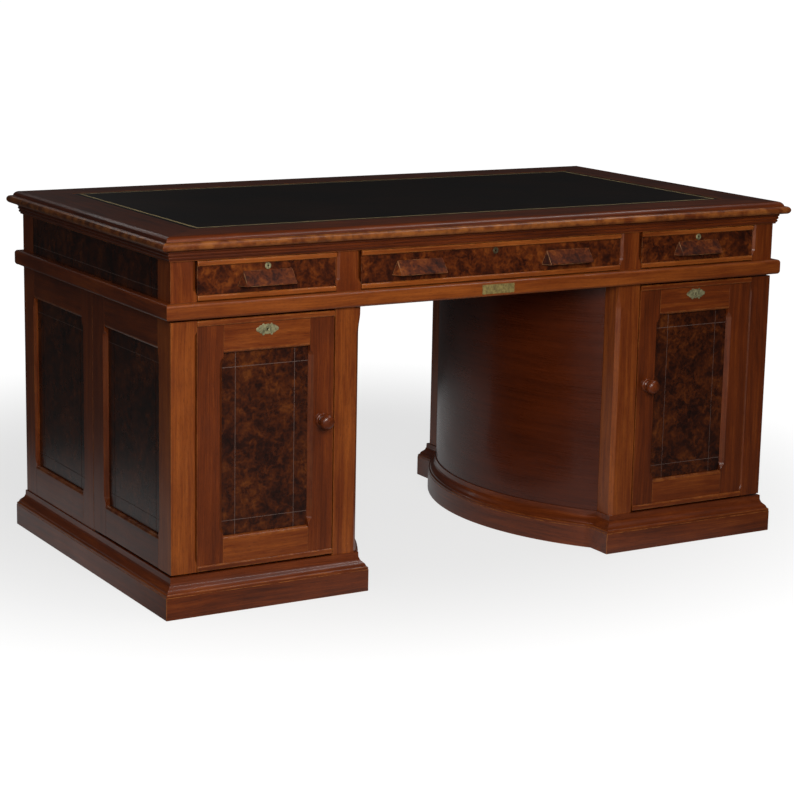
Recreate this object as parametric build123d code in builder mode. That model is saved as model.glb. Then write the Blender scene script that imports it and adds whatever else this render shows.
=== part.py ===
from build123d import *
from math import hypot, radians, sin, cos
import os

# A pedestal writing desk with three frieze drawers. The front quarter of each pedestal is a case that
# turns outwards on a vertical pivot beside the outer face, and holds pigeonholes.
# Millimetres. X runs along the front, Y from front to back, Z up. The origin is on the floor under the
# centre of the desk.

# ---------------------------------------------------------------- driving dimensions
desk_width = 1540.0  # over the nose of the top
desk_depth = 832.0
desk_height = 762.0
kneehole_width = 643.0  # between the posts

top_overhang_side = 28.0  # nose of the top beyond the posts
top_overhang_front = 27.0
top_thickness = 27.0
border_width_side = 114.0  # wood around the leather
border_width_front = 106.0
nose_height = 17.0  # rounded lower part of the edge of the top
thumb_step = 3.0
thumb_width = 14.0
leather_thickness = 2.0
leather_sink = 0.5

bed_height = 23.0  # reeded moulding under the top
bed_fillet = 3.0
bed_reeds = 3
bed_projection = 7.0
bed_reach_in = 40.0
reed_bulge = 2.0

frieze_height = 81.0
frieze_board = 20.0
divider_depth = 24.0

waist_height = 33.0  # moulded rail between frieze and pedestals
waist_projection = 15.0
waist_rail_width_side = 70.0
waist_rail_width_front = 90.0
waist_rounding = 7.0
dust_board_thickness = 12.0

plinth_face_height = 47.0
plinth_projection = 19.0
plinth_inside = 25.0  # from the pedestal's face in to the hollow
plinth_steps = ((6.0, 18.0), (5.0, 14.5), (5.0, 11.0), (5.0, 8.0), (4.0, 6.0), (10.0, 3.0))
floor_board_thickness = 18.0

outer_post_width = 56.0
outer_post_depth = 60.0
inner_post_width = 57.0
inner_post_depth = 49.0
curved_wall_thickness = 12.0
partition_thickness = 15.0
post_chamfer = 6.0
chamfer_stop = 12.0  # from the end of an opening to the end of the chamfer beside it
kneehole_stop = 40.0  # square length left at each end of a kneehole post

frame_thickness = 24.0
knob_stile = 55.0
post_stile = 58.0
case_side_stile = 63.0
rear_side_stile = 57.0
opening_above_plinth = 70.0  # foot of every sunk panel
front_opening_below_waist = 74.0
side_opening_below_waist = 67.0
panel_thickness = 9.0
panel_sink = 9.0
panel_tongue = 7.0
tenon_length = 26.0
tenon_shoulder = 12.0
tenon_thickness = 5.0
tenon_depth = 2.0  # from the back of the frame

case_gap_below = 4.0
case_gap_above = 4.5
case_gap_beside = 1.5
swing_clearance = 4.0
mid_gap = 0.8
board_setback = 1.0
pivot_inset = 8.0  # from the outer face and from the rear edge of the case
pin_diameter = 9.0
pin_in_case = 40.0
pin_in_bush = 14.0
pin_play = 0.6
bush_diameter = 15.0
bush_depth = 18.0
collar_play = 0.4
case_board = 14.0
shelf_thickness = 12.0
pigeonhole_divider = 9.0
case_skin = 6.0
top_tier_height = 130.0
middle_tier_height = 130.0

knob_below_case_top = 223.0
knob_diameter = 32.0
knob_projection = 34.0
knob_base_diameter = 30.0
knob_neck_diameter = 14.0
spindle_diameter = 10.0
spindle_length = 18.0

lock_width = 50.0
lock_height = 30.0
lock_thickness = 10.0
case_keyhole_below_top = 27.0
case_plate_lobes = ((0.0, 0.0, 10.5), (12.5, 0.0, 8.5), (20.5, 0.0, 4.5), (9.0, -9.5, 3.0), (9.0, 9.0, 2.5))
drawer_escutcheon_diameter = 13.5
escutcheon_thickness = 1.2
keyhole_diameter = 4.6
keeper_thickness = 2.0
keeper_depth = 12.0
keeper_in_from_face = 10.0

drawer_gap = 1.0
drawer_front_thickness = 20.0
drawer_length = 540.0
drawer_side = 12.0
drawer_side_inset = 14.0
drawer_side_lift = 2.3  # foot of the drawer sides above the waist rail
drawer_side_below_top = 14.0
drawer_bottom_thickness = 8.0
drawer_bottom_lift = 8.0
drawer_bottom_tongue = 5.0
bead_height = 11.0  # rounded strip along the head and foot of a drawer front
bead_projection = 3.5
drawer_keyhole_below_top = 18.0

runner_play = 0.4
guide_play = 0.8
guide_width = 10.0
guide_height = 22.0
stop_length = 14.0

pull_width_foot = 133.0
pull_width_head = 108.0
pull_height = 30.0
pull_projection = 20.0
pull_lip = 3.5
pull_hip_angle = 30.0  # slope of the two ends, in degrees from square to the drawer
pull_foot_above_waist = 25.0
centre_pull_offset = 183.0

name_plate_width = 79.0
name_plate_height = 20.0
name_plate_thickness = 1.2

# ---------------------------------------------------------------- levels and places that follow
body_x = desk_width / 2 - top_overhang_side  # outer face of the posts
body_y = desk_depth / 2 - top_overhang_front
knee_x = kneehole_width / 2
door_x0 = knee_x + inner_post_width
door_x1 = body_x - outer_post_width
door_mid_x = (door_x0 + door_x1) / 2
pedestal_mid_x = (knee_x + body_x) / 2
post_y = body_y - inner_post_depth
side_post_y = body_y - outer_post_depth

plinth_top = plinth_face_height + sum(height for height, projection in plinth_steps)
top_foot = desk_height - top_thickness
bed_foot = top_foot - bed_height
frieze_foot = bed_foot - frieze_height
waist_foot = frieze_foot - waist_height
case_foot = plinth_top + case_gap_below
case_head = waist_foot - case_gap_above
opening_foot = plinth_top + opening_above_plinth
front_opening_head = waist_foot - front_opening_below_waist
side_opening_head = waist_foot - side_opening_below_waist

pivot_x = body_x - pivot_inset
pivot_y = -pivot_inset
wall_radius = hypot(pivot_x - knee_x, post_y)  # kneehole face of the curved wall
case_radius = hypot(pivot_x - door_x0, post_y + pivot_y) - swing_clearance
inside_x = body_x - frame_thickness
inside_y = body_y - frame_thickness
waist_x = body_x + waist_projection
waist_y = body_y + waist_projection
keyhole_z = case_head - case_keyhole_below_top
keeper_y = -body_y + keeper_in_from_face + keeper_depth / 2

drawer_foot = frieze_foot + drawer_gap
drawer_head = bed_foot - drawer_gap
drawer_side_foot = frieze_foot + drawer_side_lift
drawer_side_head = bed_foot - drawer_side_below_top
drawer_keyhole_z = drawer_head - drawer_keyhole_below_top
drawer_spans = {
    "left": (-door_x1, -door_x0),
    "centre": (-knee_x, knee_x),
    "right": (door_x0, door_x1),
}

front_face = Plane(origin=(0, -body_y, 0), x_dir=(1, 0, 0), z_dir=(0, -1, 0))
back_face = Plane(origin=(0, body_y, 0), x_dir=(-1, 0, 0), z_dir=(0, 1, 0))
right_face = Plane(origin=(body_x, 0, 0), x_dir=(0, 1, 0), z_dir=(1, 0, 0))


# ---------------------------------------------------------------- helpers
def block(x0, x1, y0, y1, z0, z1, mode=Mode.ADD):
    """A block between two corners, in the builder that is open."""
    with Locations(((x0 + x1) / 2, (y0 + y1) / 2, (z0 + z1) / 2)):
        Box(x1 - x0, y1 - y0, z1 - z0, mode=mode)


def area(x0, x1, y0, y1, mode=Mode.ADD):
    """A rectangle between two corners, in the sketch that is open."""
    with Locations(((x0 + x1) / 2, (y0 + y1) / 2)):
        Rectangle(x1 - x0, y1 - y0, mode=mode)


def board(x0, x1, y0, y1, z0, z1):
    """A plain board as a piece of its own."""
    with BuildPart() as piece:
        block(x0, x1, y0, y1, z0, z1)
    return piece


def mirrored(piece):
    """The same piece on the other side of the desk."""
    with BuildPart() as twin:
        mirror(piece.part, about=Plane.YZ)
    return twin


def both_sides(pieces):
    return pieces + [mirrored(piece) for piece in pieces]


def write(name, pieces):
    """One node: one piece, or several separate solids."""
    if len(pieces) == 1:
        node = pieces[0].part
    else:
        node = Compound([piece.part for piece in pieces])
    node.label = name
    export_step(node, f"parts/{name}.step")


def stop_chamfer(x, y, z0, z1):
    """A chamfer along part of an upright edge at x, y."""
    side = post_chamfer * 2**0.5
    with Locations((x, y, (z0 + z1) / 2)):
        Box(side, side, z1 - z0, rotation=(0, 0, 45), mode=Mode.SUBTRACT)


def keyhole(x, z, y0, y1):
    """A keyhole cut through from y0 to y1: a round eye over a slot."""
    slot = keyhole_diameter / 2
    with BuildSketch(Plane(origin=(x, y1, z), x_dir=(1, 0, 0), z_dir=(0, -1, 0))) as eye:
        Circle(keyhole_diameter / 2)
        area(-slot / 2, slot / 2, -keyhole_diameter, 0)
    extrude(eye.sketch, amount=y1 - y0, mode=Mode.SUBTRACT)


def mitred_frame(outer_x, outer_y, width_x, width_y, foot, head, section):
    """Four mitred rails round the desk. section() draws one rail with X outwards and Y up."""
    rails = []
    for out_x, out_y in ((0, -1), (1, 0), (0, 1), (-1, 0)):
        across = Vector(out_x, out_y, 0)
        along = across.cross(Vector(0, 0, 1))
        origin = Vector(out_x * outer_x, out_y * outer_y, foot)
        length = outer_x if out_y else outer_y
        ends = []
        for end in (-1, 1):
            for reach in ((1, -1) if end < 0 else (-1, 1)):
                corner_x = outer_x + reach * width_x
                corner_y = outer_y + reach * width_y
                ends.append((end * corner_x, out_y * corner_y) if out_y else (out_x * corner_x, end * corner_y))
        with BuildPart() as rail:
            with BuildSketch(Plane(origin=origin, x_dir=across, z_dir=along)):
                section()
            extrude(amount=length + width_x, both=True)
            with BuildSketch(Plane.XY.offset(foot)):
                with BuildLine():
                    Polyline(*ends, close=True)
                make_face()
            extrude(amount=head - foot, mode=Mode.INTERSECT)
        rails.append(rail)
    return rails


def framed_panel(face, u0, u1, v0, v1, stile0, stile1, opening0, opening1):
    """Stiles, rails and sunk panel on an outer face. u runs along the face and v runs up.
    A stile width of 0 leaves that side to a post."""
    inner0 = u0 + stile0
    inner1 = u1 - stile1
    tongue0 = panel_tongue if stile0 else 0
    tongue1 = panel_tongue if stile1 else 0
    panel_box = (inner0 - tongue0, inner1 + tongue1, opening0 - panel_tongue, opening1 + panel_tongue,
                 -panel_sink - panel_thickness, -panel_sink)
    tenon_w = (-frame_thickness + tenon_depth, -frame_thickness + tenon_depth + tenon_thickness)
    rail_spans = ((v0, opening0), (opening1, v1))
    tenons = []
    for v_low, v_high in rail_spans:
        reach0 = tenon_length if stile0 else 0
        reach1 = tenon_length if stile1 else 0
        tenons.append((inner0 - reach0, inner1 + reach1, v_low + tenon_shoulder, v_high - tenon_shoulder, *tenon_w))
    stiles = []
    for width, low, high in ((stile0, u0, inner0), (stile1, inner1, u1)):
        if width:
            with BuildPart(face) as stile:
                block(low, high, v0, v1, -frame_thickness, 0)
                for tenon in tenons:
                    block(*tenon, mode=Mode.SUBTRACT)
                block(*panel_box, mode=Mode.SUBTRACT)
            stiles.append(stile)
    rails = []
    for (v_low, v_high), tenon in zip(rail_spans, tenons):
        with BuildPart(face) as rail:
            block(inner0, inner1, v_low, v_high, -frame_thickness, 0)
            block(*tenon)
            block(*panel_box, mode=Mode.SUBTRACT)
        rails.append(rail)
    with BuildPart(face) as panel:
        block(*panel_box)
    return stiles, rails, panel


def pedestal_plan(grow):
    """The plan of the right pedestal, grown outwards, in the sketch that is open."""
    half_depth = body_y + grow
    with Locations((pivot_x, 0)):
        Circle(wall_radius + grow)
    area(pivot_x - wall_radius - 2 * plinth_projection, pedestal_mid_x, -half_depth, half_depth, Mode.INTERSECT)
    area(knee_x - grow, body_x + grow, -half_depth, half_depth)


def case_plan(radius):
    """The plan inside the right case, between front frame, side frame and curved skin."""
    with Locations((pivot_x, pivot_y)):
        Circle(radius)
    area(pivot_x - case_radius, inside_x, -inside_y, -board_setback, Mode.INTERSECT)
    area(door_x1, body_x, -body_y, -side_post_y, Mode.SUBTRACT)


# ---------------------------------------------------------------- plinths and pedestals
def make_plinth():
    with BuildPart() as plinth:
        with BuildSketch():
            pedestal_plan(plinth_projection)
        extrude(amount=plinth_face_height)
        with BuildSketch():
            pedestal_plan(-plinth_inside)
        extrude(amount=plinth_face_height, mode=Mode.SUBTRACT)
    return plinth


def make_plinth_moulding():
    with BuildPart() as moulding:
        foot = plinth_face_height
        for height, projection in plinth_steps:
            with BuildSketch(Plane.XY.offset(foot)):
                pedestal_plan(projection)
            extrude(amount=height)
            foot += height
        with BuildSketch(Plane.XY.offset(plinth_face_height)):
            pedestal_plan(-plinth_inside)
        extrude(amount=plinth_top - plinth_face_height, mode=Mode.SUBTRACT)
        with Locations((pivot_x, pivot_y, plinth_top - bush_depth / 2)):
            Cylinder(bush_diameter / 2, bush_depth, mode=Mode.SUBTRACT)
    return moulding


def make_pedestal_floor():
    with BuildPart() as floor:
        with BuildSketch(Plane.XY.offset(plinth_top - floor_board_thickness)):
            pedestal_plan(-plinth_inside)
        extrude(amount=floor_board_thickness)
    return floor


def make_fixed_posts():
    """The right pedestal's two inner posts and its rear outer post."""
    posts = []
    for side in (-1, 1):
        with BuildPart() as post:
            block(knee_x, door_x0, *sorted((side * post_y, side * body_y)), plinth_top, waist_foot)
            stop_chamfer(knee_x, side * body_y, plinth_top + kneehole_stop, waist_foot - kneehole_stop)
        posts.append(post)
    with BuildPart() as post:
        block(door_x1, body_x, side_post_y, body_y, plinth_top, waist_foot)
        stop_chamfer(body_x, side_post_y, opening_foot + chamfer_stop, side_opening_head - chamfer_stop)
    posts.append(post)
    return posts


def make_curved_wall():
    with BuildPart() as wall:
        with BuildSketch(Plane.XY.offset(plinth_top)):
            with Locations((pivot_x, 0)):
                Circle(wall_radius)
                Circle(wall_radius - curved_wall_thickness, mode=Mode.SUBTRACT)
            area(pivot_x - wall_radius, door_x0, -post_y, post_y, Mode.INTERSECT)
        extrude(amount=waist_foot - plinth_top)
    return wall


def make_partition():
    with BuildPart() as partition:
        with BuildSketch(Plane.XY.offset(plinth_top)):
            with Locations((pivot_x, 0)):
                Circle(wall_radius - curved_wall_thickness)
            area(pivot_x - wall_radius, inside_x, mid_gap, mid_gap + partition_thickness, Mode.INTERSECT)
        extrude(amount=waist_foot - plinth_top)
    return partition


def make_rear_side_frame():
    stiles, rails, panel = framed_panel(
        right_face, mid_gap, side_post_y, plinth_top, waist_foot, rear_side_stile, 0, opening_foot,
        side_opening_head)
    return stiles + rails, panel


def make_back_frame():
    stiles, rails, panel = framed_panel(
        back_face, -door_x1, -door_x0, plinth_top, waist_foot, post_stile, knob_stile, opening_foot,
        side_opening_head)
    return stiles + rails, panel


# ---------------------------------------------------------------- waist, frieze and top
def waist_section():
    with BuildSketch(mode=Mode.PRIVATE) as whole:
        area(-waist_rail_width_front, 0, 0, waist_height)
        fillet(whole.vertices().group_by(Axis.X)[-1], waist_rounding)
    add(whole.sketch)


def make_waist_rails():
    """Mitred rails, with a pocket over each case lock and a bore over each pivot."""
    rails = []
    for rail in mitred_frame(waist_x, waist_y, waist_rail_width_side, waist_rail_width_front, waist_foot,
                             frieze_foot, waist_section):
        with BuildPart() as finished:
            add(rail.part)
            for side in (-1, 1):
                block(side * door_mid_x - lock_width / 2, side * door_mid_x + lock_width / 2,
                      keeper_y - keeper_depth / 2, keeper_y + keeper_depth / 2,
                      waist_foot, waist_foot + keeper_thickness, Mode.SUBTRACT)
                with Locations((side * pivot_x, pivot_y, waist_foot + bush_depth / 2)):
                    Cylinder(bush_diameter / 2, bush_depth, mode=Mode.SUBTRACT)
        rails.append(finished)
    return rails


def make_dust_board():
    return board(-waist_x + waist_rail_width_side, waist_x - waist_rail_width_side,
                 -waist_y + waist_rail_width_front, waist_y - waist_rail_width_front,
                 waist_foot, waist_foot + dust_board_thickness)


def make_frieze_posts():
    """The right half of the frieze: two corner posts and two dividers."""
    posts = []
    for side in (-1, 1):
        with BuildPart() as corner:
            block(door_x1, body_x, *sorted((side * side_post_y, side * body_y)), frieze_foot, bed_foot)
        with BuildPart() as divider:
            block(knee_x, door_x0, *sorted((side * (body_y - divider_depth), side * body_y)),
                  frieze_foot, bed_foot)
        posts += [corner, divider]
    return posts


def make_frieze_panels():
    """Boards that close the frieze at the two sides and along the back."""
    side_board = board(body_x - frieze_board, body_x, -side_post_y, side_post_y, frieze_foot, bed_foot)
    back_outer = board(door_x0, door_x1, body_y - frieze_board, body_y, frieze_foot, bed_foot)
    back_centre = board(-knee_x, knee_x, body_y - frieze_board, body_y, frieze_foot, bed_foot)
    return both_sides([side_board, back_outer]) + [back_centre]


def bed_section():
    """A fillet and a row of reeds that step outwards as they rise."""
    rise = (bed_height - bed_fillet) / bed_reeds
    step = (bed_projection - bed_fillet) / bed_reeds
    with BuildLine() as outline:
        Polyline((bed_fillet, bed_fillet), (bed_fillet, 0), (-bed_reach_in, 0),
                 (-bed_reach_in, bed_height), (bed_projection, bed_height))
        for reed in range(bed_reeds):
            start = Vector(bed_fillet + reed * step, bed_fillet + reed * rise)
            end = start + Vector(step, rise)
            normal = Vector(rise, -step).normalized()
            ThreePointArc(start, (start + end) * 0.5 + normal * reed_bulge, end)
    make_face(outline.edges())


def make_bed_moulding():
    """Mitred rails, with a pocket over each drawer lock."""
    rails = []
    for rail in mitred_frame(body_x, body_y, bed_reach_in, bed_reach_in, bed_foot, top_foot, bed_section):
        with BuildPart() as finished:
            add(rail.part)
            for x0, x1 in drawer_spans.values():
                middle = (x0 + x1) / 2
                block(middle - lock_width / 2, middle + lock_width / 2,
                      keeper_y - keeper_depth / 2, keeper_y + keeper_depth / 2,
                      bed_foot, bed_foot + keeper_thickness, Mode.SUBTRACT)
        rails.append(finished)
    return rails


def border_section(width):
    """A half-round nose with a thumbnail above it. X is 0 at the nose."""
    nose = nose_height / 2
    with BuildLine() as outline:
        Polyline((-nose, 0), (-width, 0), (-width, top_thickness),
                 (-nose - thumb_step - thumb_width, top_thickness))
        rise = top_thickness - nose_height
        ThreePointArc((-nose - thumb_step - thumb_width, top_thickness),
                      (-nose - thumb_step - thumb_width * (1 - sin(radians(45))),
                       nose_height + rise * cos(radians(45))),
                      (-nose - thumb_step, nose_height))
        Line((-nose - thumb_step, nose_height), (-nose, nose_height))
        ThreePointArc((-nose, nose_height), (0, nose), (-nose, 0))
    make_face(outline.edges())


def make_top_border():
    """Front and back boards are narrower than the two sides, so each mitre runs from corner to corner."""
    half_x = desk_width / 2
    half_y = desk_depth / 2
    rails_front = mitred_frame(half_x, half_y, border_width_side, border_width_front, top_foot, desk_height,
                               lambda: border_section(border_width_front))
    rails_side = mitred_frame(half_x, half_y, border_width_side, border_width_front, top_foot, desk_height,
                              lambda: border_section(border_width_side))
    return [rails_front[0], rails_side[1], rails_front[2], rails_side[3]]


def make_top_core():
    half_x = desk_width / 2 - border_width_side
    half_y = desk_depth / 2 - border_width_front
    head = desk_height - leather_sink - leather_thickness
    return board(-half_x, half_x, -half_y, half_y, top_foot, head)


def make_leather():
    half_x = desk_width / 2 - border_width_side
    half_y = desk_depth / 2 - border_width_front
    head = desk_height - leather_sink
    return board(-half_x, half_x, -half_y, half_y, head - leather_thickness, head)


def make_name_plate():
    """A blank plate on the waist rail."""
    middle = (waist_foot + frieze_foot) / 2
    return board(-name_plate_width / 2, name_plate_width / 2, -waist_y - name_plate_thickness, -waist_y,
                 middle - name_plate_height / 2, middle + name_plate_height / 2)


# ---------------------------------------------------------------- hardware on the carcass
def make_bushes():
    """Lower bush with a thrust collar, and upper bush."""
    collar_head = case_foot - collar_play
    bushes = []
    for foot, head in ((plinth_top - bush_depth, collar_head), (waist_foot, waist_foot + bush_depth)):
        with BuildPart() as bush:
            with Locations((pivot_x, pivot_y, (foot + head) / 2)):
                Cylinder(bush_diameter / 2, head - foot)
                Cylinder((pin_diameter + pin_play) / 2, head - foot, mode=Mode.SUBTRACT)
        bushes.append(bush)
    return bushes


def make_keepers():
    """Brass plates over the case locks and over the drawer locks."""
    places = [(door_mid_x, waist_foot), (-door_mid_x, waist_foot)]
    places += [((x0 + x1) / 2, bed_foot) for x0, x1 in drawer_spans.values()]
    return [board(x - lock_width / 2, x + lock_width / 2, keeper_y - keeper_depth / 2,
                  keeper_y + keeper_depth / 2, foot, foot + keeper_thickness) for x, foot in places]


def make_runners():
    """One L-shaped runner on each side of each drawer, with a stop at its back end."""
    foot = waist_foot + dust_board_thickness
    front = -waist_y + waist_rail_width_front
    drawer_back = -body_y + drawer_length
    shelf_z = drawer_side_foot - runner_play
    runners = []
    for x0, x1 in drawer_spans.values():
        for outside, inward in ((x0 + drawer_side_inset, 1), (x1 - drawer_side_inset, -1)):
            guide_x = outside - inward * guide_play
            with BuildPart() as runner:
                block(*sorted((guide_x - inward * guide_width, outside + inward * drawer_side)),
                      front, drawer_back + stop_length, foot, shelf_z)
                block(*sorted((guide_x - inward * guide_width, guide_x)),
                      front, drawer_back + stop_length, shelf_z, shelf_z + guide_height)
                block(*sorted((guide_x, outside + inward * drawer_side)),
                      drawer_back + guide_play, drawer_back + stop_length, shelf_z, shelf_z + guide_height)
            runners.append(runner)
    return runners


# ---------------------------------------------------------------- right case
def make_case_front():
    """Front frame with a bore for the knob, a keyhole and a pocket for the lock."""
    stiles, rails, panel = framed_panel(
        front_face, door_x0 + case_gap_beside, door_x1, case_foot, case_head, knob_stile, post_stile,
        opening_foot, front_opening_head)
    knob_x = door_x0 + case_gap_beside + knob_stile / 2
    knob_z = case_head - knob_below_case_top
    with BuildPart() as bored_stile:
        add(stiles[0].part)
        with Locations((knob_x, -body_y + spindle_length / 2, knob_z)):
            Cylinder(spindle_diameter / 2, spindle_length, rotation=(90, 0, 0), mode=Mode.SUBTRACT)
    with BuildPart() as lock_rail:
        add(rails[1].part)
        keyhole(door_mid_x, keyhole_z, -body_y, -inside_y)
        block(door_mid_x - lock_width / 2, door_mid_x + lock_width / 2, -inside_y - lock_thickness, -inside_y,
              keyhole_z - lock_height / 2, keyhole_z + lock_height / 2, Mode.SUBTRACT)
    return [bored_stile, stiles[1], rails[0], lock_rail], panel


def make_case_post():
    with BuildPart() as post:
        block(door_x1, body_x, -body_y, -side_post_y, case_foot, case_head)
        stop_chamfer(body_x, -side_post_y, opening_foot + chamfer_stop, side_opening_head - chamfer_stop)
    return post


def make_case_side():
    """Side frame. Its rear outer edge is rounded about the pivot, and the pins are let into it."""
    stiles, rails, panel = framed_panel(
        right_face, -side_post_y, 0, case_foot, case_head, 0, case_side_stile, opening_foot,
        side_opening_head)
    with BuildPart() as pivot_stile:
        add(stiles[0].part)
        corner = pivot_stile.edges().filter_by(Axis.Z).group_by(Axis.Y)[-1].sort_by(Axis.X)[-1]
        fillet(corner, pivot_inset)
        for foot in (case_foot, case_head - pin_in_case):
            with Locations((pivot_x, pivot_y, foot + pin_in_case / 2)):
                Cylinder(pin_diameter / 2, pin_in_case, mode=Mode.SUBTRACT)
    return [pivot_stile] + rails, panel


def make_case_ends():
    """Floor and head of the case."""
    ends = []
    for foot in (case_foot, case_head - case_board):
        with BuildPart() as end:
            with BuildSketch(Plane.XY.offset(foot)):
                case_plan(case_radius - case_skin)
            extrude(amount=case_board)
        ends.append(end)
    return ends


def make_case_skin():
    with BuildPart() as skin:
        with BuildSketch(Plane.XY.offset(case_foot)):
            with Locations((pivot_x, pivot_y)):
                Circle(case_radius)
                Circle(case_radius - case_skin, mode=Mode.SUBTRACT)
            area(pivot_x - case_radius, pivot_x, -inside_y, -board_setback, Mode.INTERSECT)
        extrude(amount=case_head - case_foot)
    return skin


shelf_z1 = case_head - case_board - top_tier_height - shelf_thickness
shelf_z0 = shelf_z1 - middle_tier_height - shelf_thickness
case_inner_x0 = pivot_x - case_radius + case_skin
case_tiers = (  # foot, head and number of compartments
    (case_foot + case_board, shelf_z0, 2),
    (shelf_z0 + shelf_thickness, shelf_z1, 3),
    (shelf_z1 + shelf_thickness, case_head - case_board, 3),
)


def make_pigeonholes():
    """Two shelves, and upright dividers in each tier."""
    boards = []
    for foot in (shelf_z0, shelf_z1):
        with BuildPart() as shelf:
            with BuildSketch(Plane.XY.offset(foot)):
                case_plan(case_radius - case_skin)
            extrude(amount=shelf_thickness)
        boards.append(shelf)
    for foot, head, compartments in case_tiers:
        for number in range(1, compartments):
            x = case_inner_x0 + (inside_x - case_inner_x0) * number / compartments
            with BuildPart() as divider:
                with BuildSketch(Plane.XY.offset(foot)):
                    case_plan(case_radius - case_skin)
                    area(x - pigeonhole_divider / 2, x + pigeonhole_divider / 2, -body_y, 0, Mode.INTERSECT)
                extrude(amount=head - foot)
            boards.append(divider)
    return boards


def make_knob():
    """A turned wooden knob on a spindle."""
    knob_x = door_x0 + case_gap_beside + knob_stile / 2
    ball = knob_diameter / 2
    neck = knob_neck_diameter / 2
    base = knob_base_diameter / 2
    base_height = knob_projection / 8
    turning = Plane(origin=(knob_x, -body_y, case_head - knob_below_case_top), x_dir=(1, 0, 0), z_dir=(0, 0, 1))
    with BuildPart() as knob:
        with BuildSketch(turning):
            with BuildLine():
                Polyline((0, -knob_projection + ball / 2), (0, spindle_length), (spindle_diameter / 2, spindle_length),
                         (spindle_diameter / 2, 0), (base, 0), (base, -base_height))
                Spline((base, -base_height), (neck, -base_height * 2.2), (ball, -knob_projection * 0.68),
                       (ball * 0.6, -knob_projection * 0.96), (0, -knob_projection))
                Line((0, -knob_projection), (0, -knob_projection + ball / 2))
            make_face()
        revolve(axis=Axis(turning.origin, (0, 1, 0)))
    return knob


def make_case_lock():
    """Lock body in its pocket, and a lobed keyhole plate on the face of the rail."""
    lock = board(door_mid_x - lock_width / 2, door_mid_x + lock_width / 2, -inside_y - lock_thickness, -inside_y,
                 keyhole_z - lock_height / 2, keyhole_z + lock_height / 2)
    plate_face = Plane(origin=(door_mid_x, -body_y, keyhole_z), x_dir=(1, 0, 0), z_dir=(0, -1, 0))
    with BuildPart() as plate:
        with BuildSketch(plate_face):
            for across, up, radius in case_plate_lobes:
                with Locations((across, up), (-across, up)):
                    Circle(radius)
        extrude(amount=escutcheon_thickness)
        keyhole(door_mid_x, keyhole_z, -body_y - escutcheon_thickness, -body_y)
    return [lock, plate]


def make_pins():
    """Iron pins in the foot and head of the pivot stile."""
    pins = []
    for foot, head in ((case_foot - case_gap_below - pin_in_bush, case_foot + pin_in_case),
                       (case_head - pin_in_case, waist_foot + pin_in_bush)):
        with BuildPart() as pin:
            with Locations((pivot_x, pivot_y, (foot + head) / 2)):
                Cylinder(pin_diameter / 2, head - foot)
        pins.append(pin)
    return pins


# ---------------------------------------------------------------- drawers
def make_drawer_front(x0, x1):
    """A board with a rounded strip along its head and foot, a keyhole and a pocket for the lock."""
    middle = (x0 + x1) / 2
    back = -body_y + drawer_front_thickness
    with BuildPart() as front:
        block(x0 + drawer_gap, x1 - drawer_gap, -body_y, back, drawer_foot, drawer_head)
        for foot in (drawer_foot, drawer_head - bead_height):
            with BuildSketch(Plane(origin=(middle, -body_y, foot), x_dir=(0, -1, 0), z_dir=(-1, 0, 0))):
                with BuildLine():
                    ThreePointArc((0, 0), (bead_projection, bead_height / 2), (0, bead_height))
                    Line((0, bead_height), (0, 0))
                make_face()
            extrude(amount=(x1 - x0) / 2 - drawer_gap, both=True)
        keyhole(middle, drawer_keyhole_z, -body_y, back)
        block(middle - lock_width / 2, middle + lock_width / 2, back - lock_thickness, back,
              drawer_keyhole_z - lock_height / 2, drawer_keyhole_z + lock_height / 2, Mode.SUBTRACT)
    return front


def drawer_bottom_box(x0, x1):
    left = x0 + drawer_side_inset + drawer_side - drawer_bottom_tongue
    right = x1 - drawer_side_inset - drawer_side + drawer_bottom_tongue
    foot = drawer_side_foot + drawer_bottom_lift
    return (left, right, -body_y + drawer_front_thickness, -body_y + drawer_length,
            foot, foot + drawer_bottom_thickness)


def make_drawer_box(x0, x1):
    """Two sides grooved for the bottom board, and a back that stands on it."""
    left = x0 + drawer_side_inset
    right = x1 - drawer_side_inset
    front = -body_y + drawer_front_thickness
    back = -body_y + drawer_length
    bottom = drawer_bottom_box(x0, x1)
    pieces = []
    for side_x in (left, right - drawer_side):
        with BuildPart() as side_board:
            block(side_x, side_x + drawer_side, front, back, drawer_side_foot, drawer_side_head)
            block(*bottom, mode=Mode.SUBTRACT)
        pieces.append(side_board)
    pieces.append(board(left + drawer_side, right - drawer_side, back - drawer_side, back,
                        bottom[-1], drawer_side_head))
    return pieces


def make_pull(x):
    """A hipped wedge: it stands out towards its foot, and its two ends slope in."""
    foot = frieze_foot + pull_foot_above_waist
    head = foot + pull_height
    slope = (pull_width_foot - pull_width_head) / 2 / pull_height
    below = foot - pull_projection
    half_below = pull_width_foot / 2 + slope * pull_projection
    with BuildPart() as pull:
        with BuildSketch(Plane(origin=(x, -body_y, 0), x_dir=(1, 0, 0), z_dir=(0, -1, 0))):
            with BuildLine():
                Polyline((-half_below, below), (half_below, below),
                         (pull_width_head / 2, head), (-pull_width_head / 2, head), close=True)
            make_face()
        extrude(amount=pull_projection, taper=pull_hip_angle)
        with BuildSketch(Plane(origin=(x, -body_y, 0), x_dir=(0, -1, 0), z_dir=(-1, 0, 0))):
            with BuildLine():
                Polyline((0, head), (0, foot), (pull_projection, foot), (pull_projection, foot + pull_lip),
                         close=True)
            make_face()
        extrude(amount=pull_width_foot, both=True, mode=Mode.INTERSECT)
    return pull


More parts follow.
